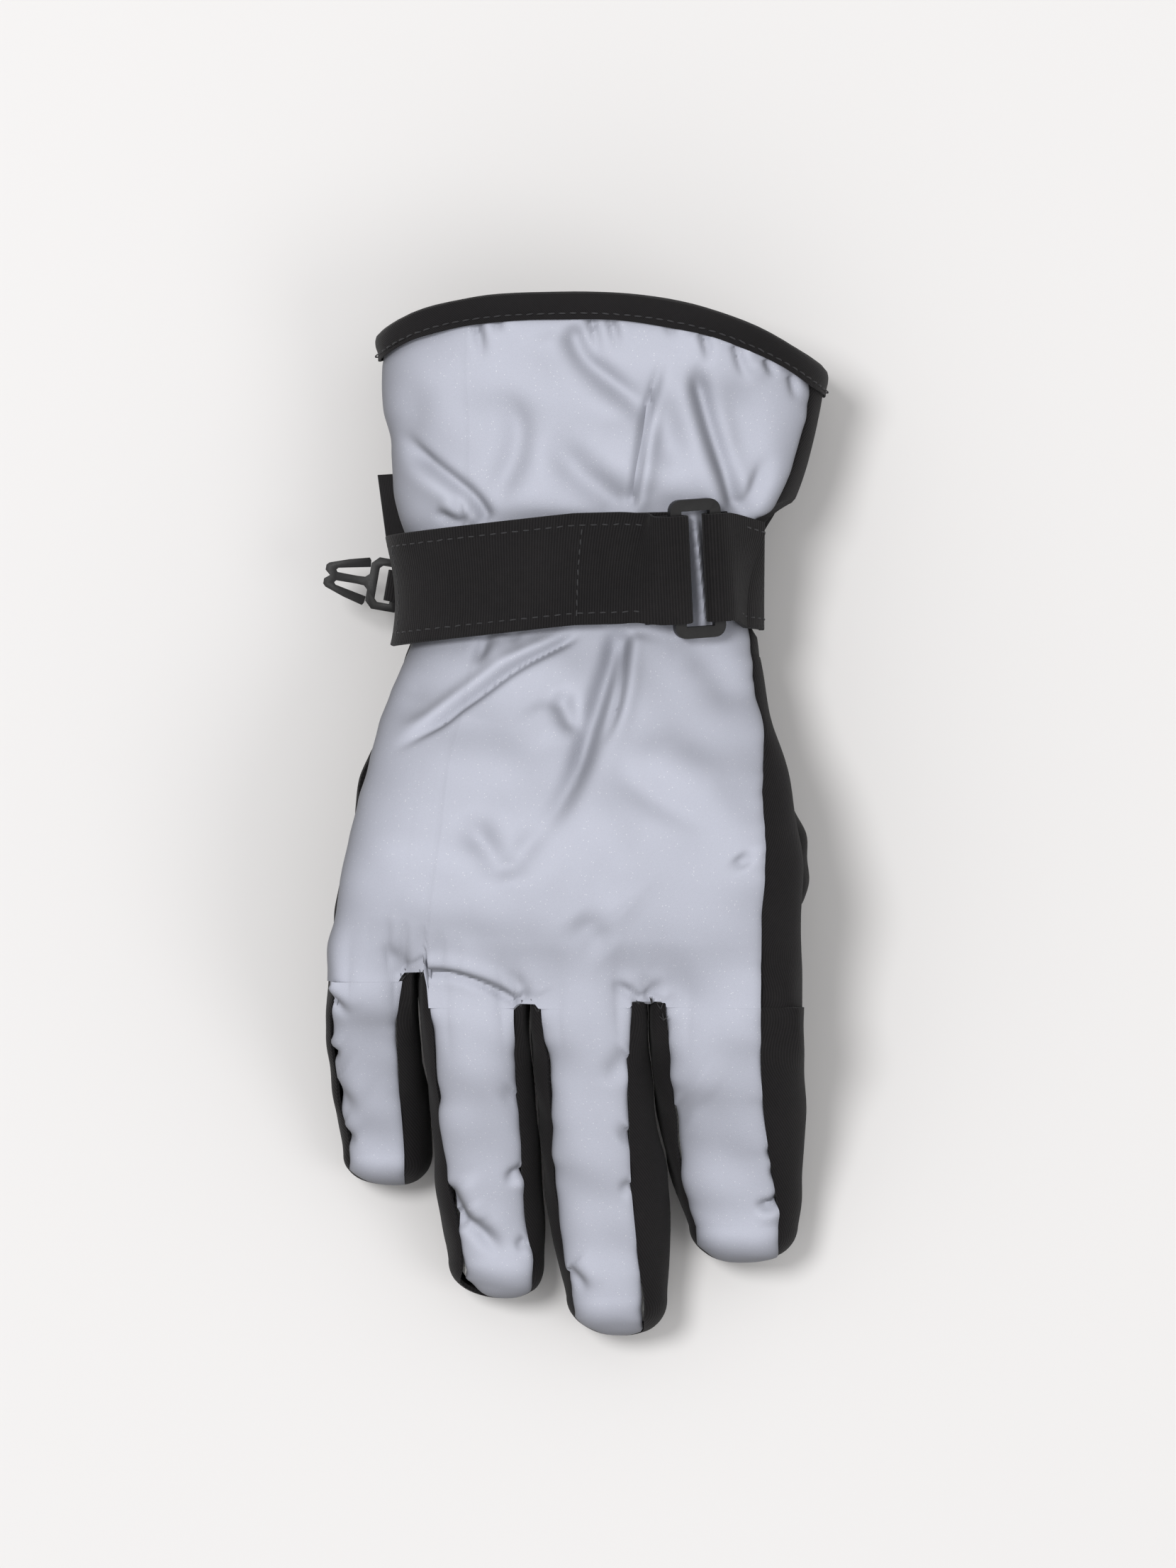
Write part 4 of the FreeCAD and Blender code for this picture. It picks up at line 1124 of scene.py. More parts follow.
def webbing(name, points, thickness, slot, ride, stands_for, up=None, round_edge=0.25):
    """A strap piece from a grid (rows across it, columns along it): solid, with soft edges."""
    across, along = lengths(points)
    across = np.repeat(across.mean(axis=0)[None, :], len(points), axis=0)
    uv = np.stack([across, along], axis=2) * MM
    inside = points.mean(axis=1) - (np.array(up) if up is not None else 0.0)
    piece = cloth_mesh(name, points, inside, False, uv)
    thicken(piece, thickness, 0.0)
    soften(piece, round_edge, 2, 50, 50)
    return finish_piece(piece, ride, None, stands_for, slot, slot)


def round_bar(path, across):
    """A fold round a bar of the ring: a path in the ring's frame, spread across the strap."""
    return ring_to_hand(np.stack([
        np.stack([path[:, 0], np.full(len(path), share * FOLD_HALF), path[:, 1]], axis=1)
        for share in across]))


def flap_grid(columns=230):
    """Centre surface of the flap, from its free end, over the ring's left bar and back under."""
    across = np.linspace(-1, 1, 34)
    level = 4.1
    # left end, square to the strap, wraps down the little finger's side
    end = turns_for(np.array([27.0]), level, 2, "left")[0]
    near_ring = turns_for(np.array([14.5]), level, 0, "top")[0]
    turns = np.linspace(end, near_ring, 60)
    on_hand = strap_on_hand(turns, across, level)
    # keeps the free end inside x, so that it is a straight cut seen from above
    slim = 1 - 0.03 * ease((on_hand[:, :, 0] - 10.0) / 6.0)
    middle = on_hand[len(across) // 2][None, :, :]
    on_hand = middle + (on_hand - middle) * slim[:, :, None]
    path = np.array([(-9.6, 0.5), (-7.0, 1.7), (-5.2, 2.35), (-3.9, 2.35), (-2.6, 1.6),
                     (-2.05, 0.0), (-2.6, -1.6), (-4.2, -2.45), (-7.0, -2.5), (-12.0, -2.9)])
    return round_path(np.concatenate([on_hand, round_bar(path, across)], axis=1), columns)


def tab_grid(columns=120):
    """Centre surface of the ring's tab: under its right bar, over it, down the index side."""
    across = np.linspace(-1, 1, 34)
    path = np.array([(8.6, -3.2), (6.0, -2.6), (4.6, -2.4), (3.0, -1.8), (2.2, 0.0),
                     (2.9, 1.7), (4.4, 2.35), (6.2, 1.9), (8.4, 0.6)])
    level = 2.0
    first = turns_for(np.array([39.6]), level, 0, "top")[0]
    last = turns_for(np.array([18.6]), level, 2, "right")[0]
    on_hand = strap_on_hand(np.linspace(first, last, 44), across, level, FOLD_HALF)
    return round_path(np.concatenate([round_bar(path, across), on_hand], axis=1), columns)


def strap_waves(points, height, seed):
    """Small unevenness of a worn strap."""
    points = points.copy()
    points[:, :, 2] += height * waves(points[:, :, 0], points[:, :, 1], 22.0, seed)
    return points


STITCH_THICK = 0.34
STITCH_LONG = 1.75
STITCH_STEP = 2.55


def stitch_shape():
    """One stitch: a short thread that dips into the cloth at both ends, along +X."""
    rows = []
    for share in np.linspace(-1, 1, 7):
        size = 0.5 * STITCH_THICK * math.sqrt(max(0.12, 1 - abs(share) ** 3))
        drop = -0.9 * STITCH_THICK * abs(share) ** 3
        for turn in np.linspace(0, 2 * math.pi, 7)[:-1]:
            rows.append((share * STITCH_LONG / 2, size * math.cos(turn),
                         size * math.sin(turn) * 0.8 + drop))
    faces = [(i + j, i + (j + 1) % 6, i + (j + 1) % 6 + 6, i + j + 6)
             for i in range(0, 36, 6) for j in range(6)]
    return np.array(rows), faces + [tuple(range(5, -1, -1)), tuple(range(36, 42))]


def at_length(at, length, values):
    """Value of a row of vectors where their path reaches this length."""
    return np.array([np.interp(at, length, values[:, c]) for c in range(3)])


def stitch_row(name, path, normals, ride, step=STITCH_STEP, seed=0, sink=0.0):
    """Stitches along a path in millimetres, sitting on a surface with these normals."""
    rng = np.random.default_rng(seed)
    path, normals = np.array(path, float), np.array(normals, float)
    length = np.concatenate([[0], np.cumsum(np.linalg.norm(np.diff(path, axis=0), axis=1))])
    shape, shape_faces = stitch_shape()
    verts, faces = [], []
    at = step * 0.5
    while at < length[-1] - step * 0.4:
        point, normal = at_length(at, length, path), at_length(at, length, normals)
        along = at_length(at + 0.4, length, path) - at_length(at - 0.4, length, path)
        along /= max(np.linalg.norm(along), 1e-9)
        normal -= along * normal.dot(along)
        normal /= max(np.linalg.norm(normal), 1e-9)
        swing = rng.normal(0, 0.07)
        side = np.cross(normal, along)
        along = along * math.cos(swing) + side * math.sin(swing)
        side = np.cross(normal, along)
        scale = rng.uniform(0.9, 1.08)
        place = (point + normal * (STITCH_THICK * 0.28 - sink)
                 + shape[:, :1] * scale * along + shape[:, 1:2] * side + shape[:, 2:3] * normal)
        base = len(verts)
        verts += (place * MM).tolist()
        faces += [tuple(base + v for v in face) for face in shape_faces]
        at += step
    mesh = bpy.data.meshes.new(name)
    mesh.from_pydata(verts, [], faces)
    piece = new_piece(name, mesh)
    smooth(piece, 60)
    return finish_piece(piece, ride, material="thread")


def surface_line(points, row=None, column=None):
    """A line over a grid with its normals; row and column may be fractions of the grid."""
    found = normals_of(points)
    if found[:, :, 2].mean() < 0:
        found = -found
    if row is not None:
        low = int(row)
        part = row - low
        return (points[low] * (1 - part) + points[min(low + 1, len(points) - 1)] * part,
                found[low])
    return points[:, column], found[:, column]


def build_strap():
    """Strap base, closure patches, flap, ring tab and their stitching."""
    pieces = []
    across = np.linspace(-1, 1, 26)
    level = 0.95
    end = turns_for(np.array([25.5]), level, 2, "left")[0]
    stop = turns_for(np.array([21.0]), level, 0, "top")[0]
    base = strap_on_hand(np.linspace(end, stop, 90), across, level, STRAP_HALF - 0.2)
    pieces.append(webbing("strap_base", base, 1.1, "webbing", "hand", ["strap_base"],
                          (0, 0, 9)))
    for name, level, span, thick, ride in (("loop_patch", 2.05, (-34.5, 11.5), 0.6, "hand"),
                                           ("hook_patch", 2.85, (-34.5, -8.5), 0.55, "flap")):
        turns = np.linspace(*turns_for(np.array(span), level, 0, "top"), 60)
        grid = strap_on_hand(turns, across, level, STRAP_HALF - 2.8)
        pieces.append(webbing(name, grid, thick, "closure_tape", ride, [name], (0, 0, 9), 0.12))
    flap = strap_waves(flap_grid(), 0.12, 71)
    pieces.append(webbing("strap_flap", flap, STRAP_THICK, "webbing", "flap", ["strap_flap"],
                          (0, 0, 9), 0.4))
    tab = strap_waves(tab_grid(), 0.1, 72)
    pieces.append(webbing("ring_tab", tab, 1.15, "webbing", "hand", ["ring_tab"], (0, 0, 9),
                          0.35))
    # stitching of the flap: both long edges, its free end, and the seam across it
    lift = STRAP_THICK / 2
    rows, columns = flap.shape[:2]
    seam = int(np.argmin(np.abs(flap[rows // 2, :int(columns * 0.7), 0] - SEAM_X)))
    for name, grid, row, column, keep, height, ride, step, seed in (
            ("flap_stitches_fingers", flap, 3.4, None, slice(12, int(columns * 0.74)), lift,
             "flap", STITCH_STEP, 73),
            ("flap_stitches_cuff", flap, 29.6, None, slice(12, int(columns * 0.74)), lift,
             "flap", STITCH_STEP, 74),
            ("flap_stitches_end", flap, None, 12, slice(2, 32), lift, "flap", 2.3, 75),
            ("flap_stitches_middle", flap, None, seam, slice(2, 32), lift, "flap", 2.3, 76),
            ("tab_stitches_fingers", tab, 3.2, None, slice(52, 118), 0.58, "hand", STITCH_STEP, 77),
            ("tab_stitches_cuff", tab, 29.8, None, slice(52, 118), 0.58, "hand", STITCH_STEP, 78)):
        line, normal = surface_line(grid, row, column)
        pieces.append(stitch_row(name, line[keep] + normal[keep] * height, normal[keep], ride,
                                 step, seed))
    return pieces


# ------ hard pieces
def choose(piece, test, kind="FACE"):
    """In edit mode, selects only the faces or edges that pass the test."""
    bpy.ops.object.mode_set(mode="EDIT")
    bpy.ops.mesh.select_all(action="DESELECT")
    bpy.ops.mesh.select_mode(type=kind)
    made = bmesh.from_edit_mesh(piece.data)
    for item in (made.faces if kind == "FACE" else made.edges):
        if test(item):
            item.select_set(True)
    bmesh.update_edit_mesh(piece.data)


def box_piece(name, size, centre=(0, 0, 0)):
    """A block to cut a hard piece from, in millimetres, with its place in its mesh."""
    bpy.ops.object.select_all(action="DESELECT")
    bpy.ops.mesh.primitive_cube_add(size=1.0, location=[c * MM for c in centre])
    piece = bpy.context.object
    piece.name = name
    piece.data.name = name
    piece.scale = [s * MM for s in size]
    bpy.ops.object.transform_apply(location=True, rotation=True, scale=True)
    return piece


def build_ring_buckle():
    """The flat plastic ring on the strap: rounded corners, one long slot, soft edges."""
    piece = box_piece("ring_buckle", RING_SIZE)
    choose(piece, lambda e: abs(e.verts[0].co.z - e.verts[1].co.z) > 1 * MM, "EDGE")
    bpy.ops.mesh.bevel(offset=2.6 * MM, segments=6, affect="EDGES")
    choose(piece, lambda f: abs(f.normal.z) > 0.9)
    bpy.ops.mesh.inset(thickness=RING_BAR * MM)
    choose(piece, lambda f: abs(f.normal.z) > 0.9 and f.calc_center_median().length < 2 * MM
           and f.calc_area() > 1e-4 and all(abs(v.co.x) < (RING_SIZE[0] / 2 - 1) * MM
                                           for v in f.verts))
    bpy.ops.mesh.bridge_edge_loops()
    bpy.ops.object.mode_set(mode="OBJECT")
    merge_close(piece)
    soften(piece, 0.55, 3, 40)
    piece.data.transform(Matrix.Translation([c * MM for c in RING_CENTRE])
                         @ RING_TURN.to_4x4())
    return finish_piece(piece, "ring", None, ["ring_buckle"], "moulded_plastic")


CLIP_CENTRE = (-40.6, 52.6, 20.0)
CLIP_TURN = 170.0
CLIP_THICK = 1.8
CLIP_HALF = ((15.2, 0.0), (16.4, 1.0), (16.4, 2.2), (15.8, 2.8), (11.5, 4.3), (6.9, 5.5),
             (6.5, 4.9), (6.35, 3.4), (9.6, 2.75), (13.6, 1.95), (14.0, 1.45), (13.6, 0.95),
             (9.0, 0.9), (7.2, 1.0), (6.2, 1.9))
EYE_OUTLINE = ((-0.8, -5.95), (4.7, -5.95), (6.3, -4.35), (6.3, 4.35), (4.7, 5.95), (-0.8, 5.95))
EYE_SLOT = ((0.8, -4.2), (3.6, -4.2), (4.3, -3.5), (4.3, 3.5), (3.6, 4.2), (0.8, 4.2))


def clip_place():
    return (Matrix.Translation([c * MM for c in CLIP_CENTRE])
            @ Matrix.Rotation(math.radians(CLIP_TURN), 4, "Z"))


def flat_piece(name, outline, thickness, holes=()):
    """A flat moulding from its outline, with holes, in its own plane."""
    made = bmesh.new()
    edges = []
    for loop in (outline, *holes):
        verts = [made.verts.new((u * MM, v * MM, -thickness / 2 * MM)) for u, v in loop]
        edges += [made.edges.new(pair) for pair in zip(verts, verts[1:] + verts[:1])]
    bmesh.ops.triangle_fill(made, use_beauty=True, use_dissolve=False, edges=edges)
    bmesh.ops.recalc_face_normals(made, faces=made.faces)
    if made.faces and sum(f.normal.z for f in made.faces) > 0:
        bmesh.ops.reverse_faces(made, faces=made.faces)
    raised = bmesh.ops.extrude_face_region(made, geom=list(made.faces))
    for item in raised["geom"]:
        if isinstance(item, bmesh.types.BMVert):
            item.co.z += thickness * MM
    bmesh.ops.recalc_face_normals(made, faces=made.faces)
    bmesh.ops.dissolve_limit(made, angle_limit=0.01, verts=made.verts, edges=made.edges)
    mesh = bpy.data.meshes.new(name)
    made.to_mesh(mesh)
    made.free()
    return new_piece(name, mesh)


def build_joining_clip():
    """The flat hook that joins the pair: notched arrow head, barbs, stem and webbing eye."""
    head = list(CLIP_HALF) + [(u, -v) for u, v in CLIP_HALF[:0:-1]]
    pieces = [flat_piece("clip_head", head, CLIP_THICK),
              flat_piece("clip_eye", EYE_OUTLINE, CLIP_THICK, [EYE_SLOT])]
    bpy.ops.object.select_all(action="DESELECT")
    for piece in pieces:
        piece.select_set(True)
    bpy.context.view_layer.objects.active = pieces[1]
    union = pieces[1].modifiers.new("Join", "BOOLEAN")
    union.operation = "UNION"
    union.solver = "EXACT"
    union.object = pieces[0]
    apply_modifiers(pieces[1])
    bpy.data.objects.remove(pieces[0])
    clip = pieces[1]
    clip.name = "joining_clip"
    clip.data.name = "joining_clip"
    soften(clip, 0.32, 2, 30)
    clip.data.transform(clip_place())
    return finish_piece(clip, "clip", None, ["joining_clip"], "moulded_plastic")


def build_clip_loop():
    """Webbing folded round the eye's bar and sewn into the side seam, with its zigzag."""
    turn = np.radians(np.linspace(150, -150, 22))
    radius = 1.95
    path = [(-5.4, 0.55), (-3.6, 0.62), (-2.4, 1.2)]
    path += [(radius * math.cos(a), radius * math.sin(a)) for a in turn]
    path += [(-2.4, -1.2), (-3.6, -0.62), (-5.4, -0.55)]
    across = np.linspace(-3.55, 3.55, 14)
    grid = np.array([[(u, v, w) for u, w in path] for v in across])
    grid = round_path(grid, 70)
    place = np.array(clip_place())
    points = np.einsum("ij,abj->abi", place[:3, :3], grid) + place[:3, 3] / MM
    piece = webbing("clip_loop", points, 0.65, "webbing", "hand", ["clip_loop"], None, 0.15)
    steps = np.linspace(-3.1, 3.1, 9)
    zig = [(-3.4 + (0.9 if i % 2 else 0.0), v, 1.05 if i % 2 else 0.95)
           for i, v in enumerate(steps)]
    zig = np.einsum("ij,aj->ai", place[:3, :3], np.array(zig)) + place[:3, 3] / MM
    up = np.repeat(np.array([[0.0, 0.0, 1.0]]), len(zig), axis=0)
    return [piece, stitch_row("clip_loop_stitches", zig, up, "hand", step=1.15, seed=79)]


def build_side_label():
    """A bare folded tab of tape in the side seam."""
    corners = np.array([(-44.5, 78.0), (-42.3, 61.6), (-36.5, 62.0), (-36.5, 78.5)])
    across = np.linspace(0, 1, 30)
    outer = corners[0] + (corners[1] - corners[0]) * across[:, None]
    inner = corners[3] + (corners[2] - corners[3]) * across[:, None]
    grid = []
    for a, b, v in zip(outer, inner, across):
        bow = 0.25 * math.sin(v * math.pi)
        upper = [(*(b + (a - b) * t), 22.25 + bow * t) for t in np.linspace(0, 1, 12)]
        lower = [(*(a + (b - a) * t), 21.75 + bow * (1 - t)) for t in np.linspace(0, 1, 12)]
        edge = (*(a + (a - b) / np.linalg.norm(a - b) * 0.12), 22.0 + bow)
        grid.append(upper + [edge] + lower)
    return webbing("side_label", np.array(grid), 0.22, "label_tape", "hand", ["side_label"],
                   None, 0.05)


def build_binding_stitches():
    """The line of stitches that holds the binding to the cuff."""
    turn = np.linspace(0, 2 * math.pi, 500)
    path = binding_point(turn, -1.22, 5.1)
    path[:, 2] = np.maximum(path[:, 2], SEAT + 0.2)
    heading = np.gradient(path, axis=0)
    normal = np.stack([heading[:, 2], 0 * turn, -heading[:, 0]], axis=1)
    normal *= np.sign(np.sum(normal * (path - path.mean(axis=0)), axis=1))[:, None]
    normal /= np.linalg.norm(normal, axis=1, keepdims=True)
    above = path[:, 2] > 1.5
    first = int(np.argmax(~above))
    order = np.roll(np.arange(len(turn) - 1), -first)
    order = order[above[:-1][order]]
    return stitch_row("binding_stitches", path[order], normal[order], "hand", step=2.45,
                      seed=81, sink=0.02)


def build_web_threads():
    """Ends of thread at the crotch of each pair of fingers."""
    rng = np.random.default_rng(84)
    verts, faces = [], []
    for x, y in ((-37.5, -35.0), (-34.4, -35.3), (-12.0, -42.2), (-9.0, -41.8), (-8.2, -43.6),
                 (15.0, -41.8), (17.6, -41.4), (19.6, -42.8), (-38.8, -36.2), (20.3, -45.2)):
        top = float(root_height(np.array([x]), np.array([y]), 1)[0]) + 0.3
        for _ in range(3):
            heading = rng.uniform(0.3, 2.8)
            tip = np.array([x + 1.1 * math.cos(heading), y + 1.1 * math.sin(heading),
                            top + rng.uniform(0.2, 0.9)])
            root = np.array([x, y - 0.5, top - 0.7])
            along = tip - root
            side = np.cross(along, (0, 0, 1.0))
            side /= np.linalg.norm(side)
            rise = np.cross(side, along)
            rise /= np.linalg.norm(rise)
            base = len(verts)
            verts += [(root + along * t + width * (side * math.cos(a) + rise * math.sin(a))) * MM
                      for t, width in ((0.0, 0.2), (0.5, 0.16), (1.0, 0.05))
                      for a in (0, 2.094, 4.189)]
            for k in (0, 1, 2, 3, 4, 5):
                a, b = base + k, base + k // 3 * 3 + (k + 1) % 3
                faces.append((a, b, b + 3, a + 3))
            faces += [(base + 2, base + 1, base), (base + 6, base + 7, base + 8)]
    mesh = bpy.data.meshes.new("web_threads")
    mesh.from_pydata([tuple(v) for v in verts], [], faces)
    return finish_piece(new_piece("web_threads", mesh), "hand", material="thread")


# ------ materials
MATERIALS = {}
GROUPS = {}


def add_node(tree, kind, **values):
    """A node with its settings and the values of its inputs; inputs are named or numbered."""
    node = tree.nodes.new(kind)
    for key, value in values.items():
        if key == "inputs":
            for name, setting in value.items():
                node.inputs[name].default_value = setting
        else:
            setattr(node, key, value)
    return node


def link(tree, start, end):
    tree.links.new(start, end)


def calc(tree, operation, first, second=None, third=None):
    """A Math node; each input is a number or another node's output."""
    node = add_node(tree, "ShaderNodeMath", operation=operation)
    for number, value in enumerate((first, second, third)):
        if value is None:
            continue
        if isinstance(value, (int, float)):
            node.inputs[number].default_value = value
        else:
            link(tree, value, node.inputs[number])
    return node.outputs[0]


def add_texture(tree, kind, vector, scale=None, **values):
    """A texture on these coordinates; scale is another node's output."""
    node = add_node(tree, kind, **values)
    link(tree, vector, node.inputs["Vector"])
    if scale is not None:
        link(tree, scale, node.inputs["Scale"])
    return node


def new_group(name, inputs, outputs):
    """A shader group with named inputs (name, default) and outputs, all plain values."""
    group = bpy.data.node_groups.new(name, "ShaderNodeTree")
    for label, default in inputs:
        kind = "NodeSocketVector" if default is None else "NodeSocketFloat"
        socket = group.interface.new_socket(name=label, in_out="INPUT", socket_type=kind)
        if default is not None:
            socket.default_value = default
    for label in outputs:
        group.interface.new_socket(name=label, in_out="OUTPUT", socket_type="NodeSocketFloat")
    start, end = group.nodes.new("NodeGroupInput"), group.nodes.new("NodeGroupOutput")
    GROUPS[name] = group
    return group, start.outputs, end.inputs


def make_weave_group():
    """Twill: diagonal ribs crossed by threads, for cloth lengths in metres."""
    tree, start, end = new_group("Twill weave", [("Vector", None), ("Pitch", 0.0005),
                                                 ("Steepness", 0.6)], ["Height", "Thread"])
    split = add_node(tree, "ShaderNodeSeparateXYZ")
    link(tree, start["Vector"], split.inputs[0])
    u = calc(tree, "DIVIDE", split.outputs[0], start["Pitch"])
    v = calc(tree, "DIVIDE", split.outputs[1], start["Pitch"])
    lean = calc(tree, "MULTIPLY", v, start["Steepness"])
    rib = calc(tree, "SINE", calc(tree, "MULTIPLY", calc(tree, "ADD", u, lean), 2 * math.pi))
    cross = calc(tree, "SINE", calc(tree, "MULTIPLY", v, 4 * math.pi))
    mixed = calc(tree, "ADD", calc(tree, "MULTIPLY", rib, 0.36), calc(tree, "MULTIPLY", cross, 0.12))
    link(tree, calc(tree, "ADD", mixed, 0.5), end["Height"])
    link(tree, calc(tree, "MULTIPLY_ADD", rib, 0.5, 0.5), end["Thread"])


def make_rib_group():
    """Grosgrain: fine ribs across a strap, with a thread's unevenness."""
    tree, start, end = new_group("Strap ribs", [("Vector", None), ("Pitch", 0.0006)],
                                 ["Height", "Groove"])
    split = add_node(tree, "ShaderNodeSeparateXYZ")
    link(tree, start["Vector"], split.inputs[0])
    noise = add_texture(tree, "ShaderNodeTexNoise", start["Vector"],
                        inputs={"Scale": 900.0, "Detail": 2.0})
    shift = calc(tree, "MULTIPLY", noise.outputs[0], 0.00012)
    u = calc(tree, "DIVIDE", calc(tree, "ADD", split.outputs[0], shift), start["Pitch"])
    rib = calc(tree, "SINE", calc(tree, "MULTIPLY", u, 2 * math.pi))
    v = calc(tree, "SINE", calc(tree, "MULTIPLY", split.outputs[1], 2 * math.pi / 0.0005))
    height = calc(tree, "MULTIPLY_ADD", rib, 0.4, calc(tree, "MULTIPLY_ADD", v, 0.08, 0.5))
    link(tree, height, end["Height"])
    link(tree, calc(tree, "MULTIPLY_ADD", rib, 0.5, 0.5), end["Groove"])


def make_grain_group():
    """Fine even grain with sparse bright specks: painted glints of glass beads in a coating."""
    tree, start, end = new_group("Bead grain", [("Vector", None), ("Scale", 3200.0),
                                                ("Glints", 2700.0)], ["Grain", "Glint", "Cloud"])
    noise = add_texture(tree, "ShaderNodeTexNoise", start["Vector"], start["Scale"],
                        inputs={"Detail": 3.0, "Roughness": 0.7})
    cells = add_texture(tree, "ShaderNodeTexVoronoi", start["Vector"], start["Glints"],
                        feature="F1")
    split = add_node(tree, "ShaderNodeSeparateColor")
    link(tree, cells.outputs["Color"], split.inputs[0])
    rare = calc(tree, "GREATER_THAN", split.outputs[0], 0.955)
    small = calc(tree, "LESS_THAN", cells.outputs["Distance"], 0.32)
    cloud = add_texture(tree, "ShaderNodeTexNoise", start["Vector"],
                        inputs={"Scale": 55.0, "Detail": 4.0})
    link(tree, noise.outputs[0], end["Grain"])
    link(tree, calc(tree, "MULTIPLY", rare, small), end["Glint"])
    link(tree, cloud.outputs[0], end["Cloud"])


def make_wear_group():
    """Dust and rubbed places: a broad cloud broken by a finer one."""
    tree, start, end = new_group("Rub and dust", [("Vector", None), ("Scale", 40.0),
                                                  ("Amount", 0.5)], ["Mask"])
    broad = add_texture(tree, "ShaderNodeTexNoise", start["Vector"], start["Scale"],
                        inputs={"Detail": 5.0, "Roughness": 0.6})
    fine = add_texture(tree, "ShaderNodeTexNoise", start["Vector"],
                       inputs={"Scale": 700.0, "Detail": 3.0})
    both = calc(tree, "MULTIPLY_ADD", fine.outputs[0], 0.45, broad.outputs[0])
    span = add_node(tree, "ShaderNodeMapRange", inputs={"From Min": 0.55, "From Max": 1.0})
    link(tree, both, span.inputs["Value"])
    link(tree, calc(tree, "MULTIPLY", span.outputs[0], start["Amount"]), end["Mask"])


def make_fleece_group():
    """Brushed fibres: tangled short tufts."""
    tree, start, end = new_group("Brushed fibre", [("Vector", None), ("Scale", 900.0)],
                                 ["Height", "Tone"])
    noise = add_texture(tree, "ShaderNodeTexNoise", start["Vector"], start["Scale"],
                        inputs={"Detail": 6.0, "Roughness": 0.75, "Distortion": 1.2})
    tufts = add_texture(tree, "ShaderNodeTexVoronoi", start["Vector"], feature="SMOOTH_F1",
                        inputs={"Scale": 420.0, "Smoothness": 0.7})
    link(tree, calc(tree, "SUBTRACT", noise.outputs[0], calc(
        tree, "MULTIPLY", tufts.outputs["Distance"], 0.5)), end["Height"])
    link(tree, noise.outputs[0], end["Tone"])


def place_group(tree, name, vector, **values):
    """Outputs of one of the groups, laid on these coordinates."""
    node = add_node(tree, "ShaderNodeGroup", node_tree=GROUPS[name], inputs=values)
    link(tree, vector, node.inputs["Vector"])
    return node.outputs


def new_material(name, roughness, specular, metallic=0.0, sheen=0.0, coat=0.0,
                 viewport=(0.05, 0.05, 0.05)):
    """A material with its Principled shader; returns its tree, shader and coordinates."""
    material = bpy.data.materials.new(name)
    material.use_nodes = True
    material.diffuse_color = (*viewport, 1.0)
    tree = material.node_tree
    shader = tree.nodes["Principled BSDF"]
    for label, value in (("Roughness", roughness), ("Specular IOR Level", specular),
                         ("Metallic", metallic), ("Sheen Weight", sheen),
                         ("Sheen Roughness", 0.5), ("Coat Weight", coat)):
        shader.inputs[label].default_value = value
    MATERIALS[name] = material
    return tree, shader, add_node(tree, "ShaderNodeTexCoord")


def two_tone(tree, shader, dark, light, factor):
    """Base colour between two tones."""
    mix = add_node(tree, "ShaderNodeMix", data_type="RGBA",
                   inputs={"A": (*dark, 1.0), "B": (*light, 1.0)})
    link(tree, factor, mix.inputs["Factor"])
    link(tree, mix.outputs["Result"], shader.inputs["Base Color"])
    return mix


def relief(tree, shader, height, depth):
    """Bump of a given depth in millimetres."""
    bump = add_node(tree, "ShaderNodeBump", inputs={"Strength": 1.0, "Distance": depth * MM})
    link(tree, height, bump.inputs["Height"])
    link(tree, bump.outputs["Normal"], shader.inputs["Normal"])


def tone(value):
    """A colour written as sRGB shares, in the linear form that a shader takes."""
    return tuple(v / 12.92 if v <= 0.04045 else ((v + 0.055) / 1.055) ** 2.4 for v in value)


def make_reflective_fabric(colour):
    """Grey cloth with a beaded coating, with painted shade where it turns away from the viewer and
    painted glints of its beads.
    """
    tree, shader, place = new_material("reflective_fabric", 0.7, 0.2, 0.05, 0.1,
                                       viewport=colour)
    grain = place_group(tree, "Bead grain", place.outputs["Object"])
    weave = place_group(tree, "Twill weave", place.outputs["UV"], Pitch=0.00045)
    shade = calc(tree, "MULTIPLY_ADD", grain["Grain"], 0.62,
                 calc(tree, "MULTIPLY", grain["Cloud"], 0.42))
    dark = tuple(c * 0.86 for c in colour)
    light = tuple(min(1.0, c * 1.14) for c in colour)
    base = two_tone(tree, shader, dark, light, shade)
    # painted highlight: sparse near-white glints of the beads mixed into the base colour
    painted_glint = add_node(tree, "ShaderNodeMix", data_type="RGBA",
                     inputs={"B": (0.92, 0.93, 0.95, 1.0)})
    link(tree, calc(tree, "MULTIPLY", grain["Glint"], 0.4), painted_glint.inputs["Factor"])
    link(tree, base.outputs["Result"], painted_glint.inputs["A"])
    # painted shade: the base colour is mixed towards a third of its tone where the cloth turns away
    # from the camera, standing in for beads that send less light back off axis
    facing = add_node(tree, "ShaderNodeLayerWeight", inputs={"Blend": 0.5})
    turned = add_node(tree, "ShaderNodeMix", data_type="RGBA",
                      inputs={"B": (*(c * 0.3 for c in colour), 1.0)})
    link(tree, calc(tree, "MULTIPLY", facing.outputs["Facing"], 1.2), turned.inputs["Factor"])
    link(tree, painted_glint.outputs["Result"], turned.inputs["A"])
    link(tree, turned.outputs["Result"], shader.inputs["Base Color"])
    link(tree, calc(tree, "MULTIPLY_ADD", grain["Grain"], 0.2, 0.6), shader.inputs["Roughness"])
    height = calc(tree, "MULTIPLY_ADD", weave["Height"], 0.3, grain["Grain"])
    relief(tree, shader, height, 0.06)


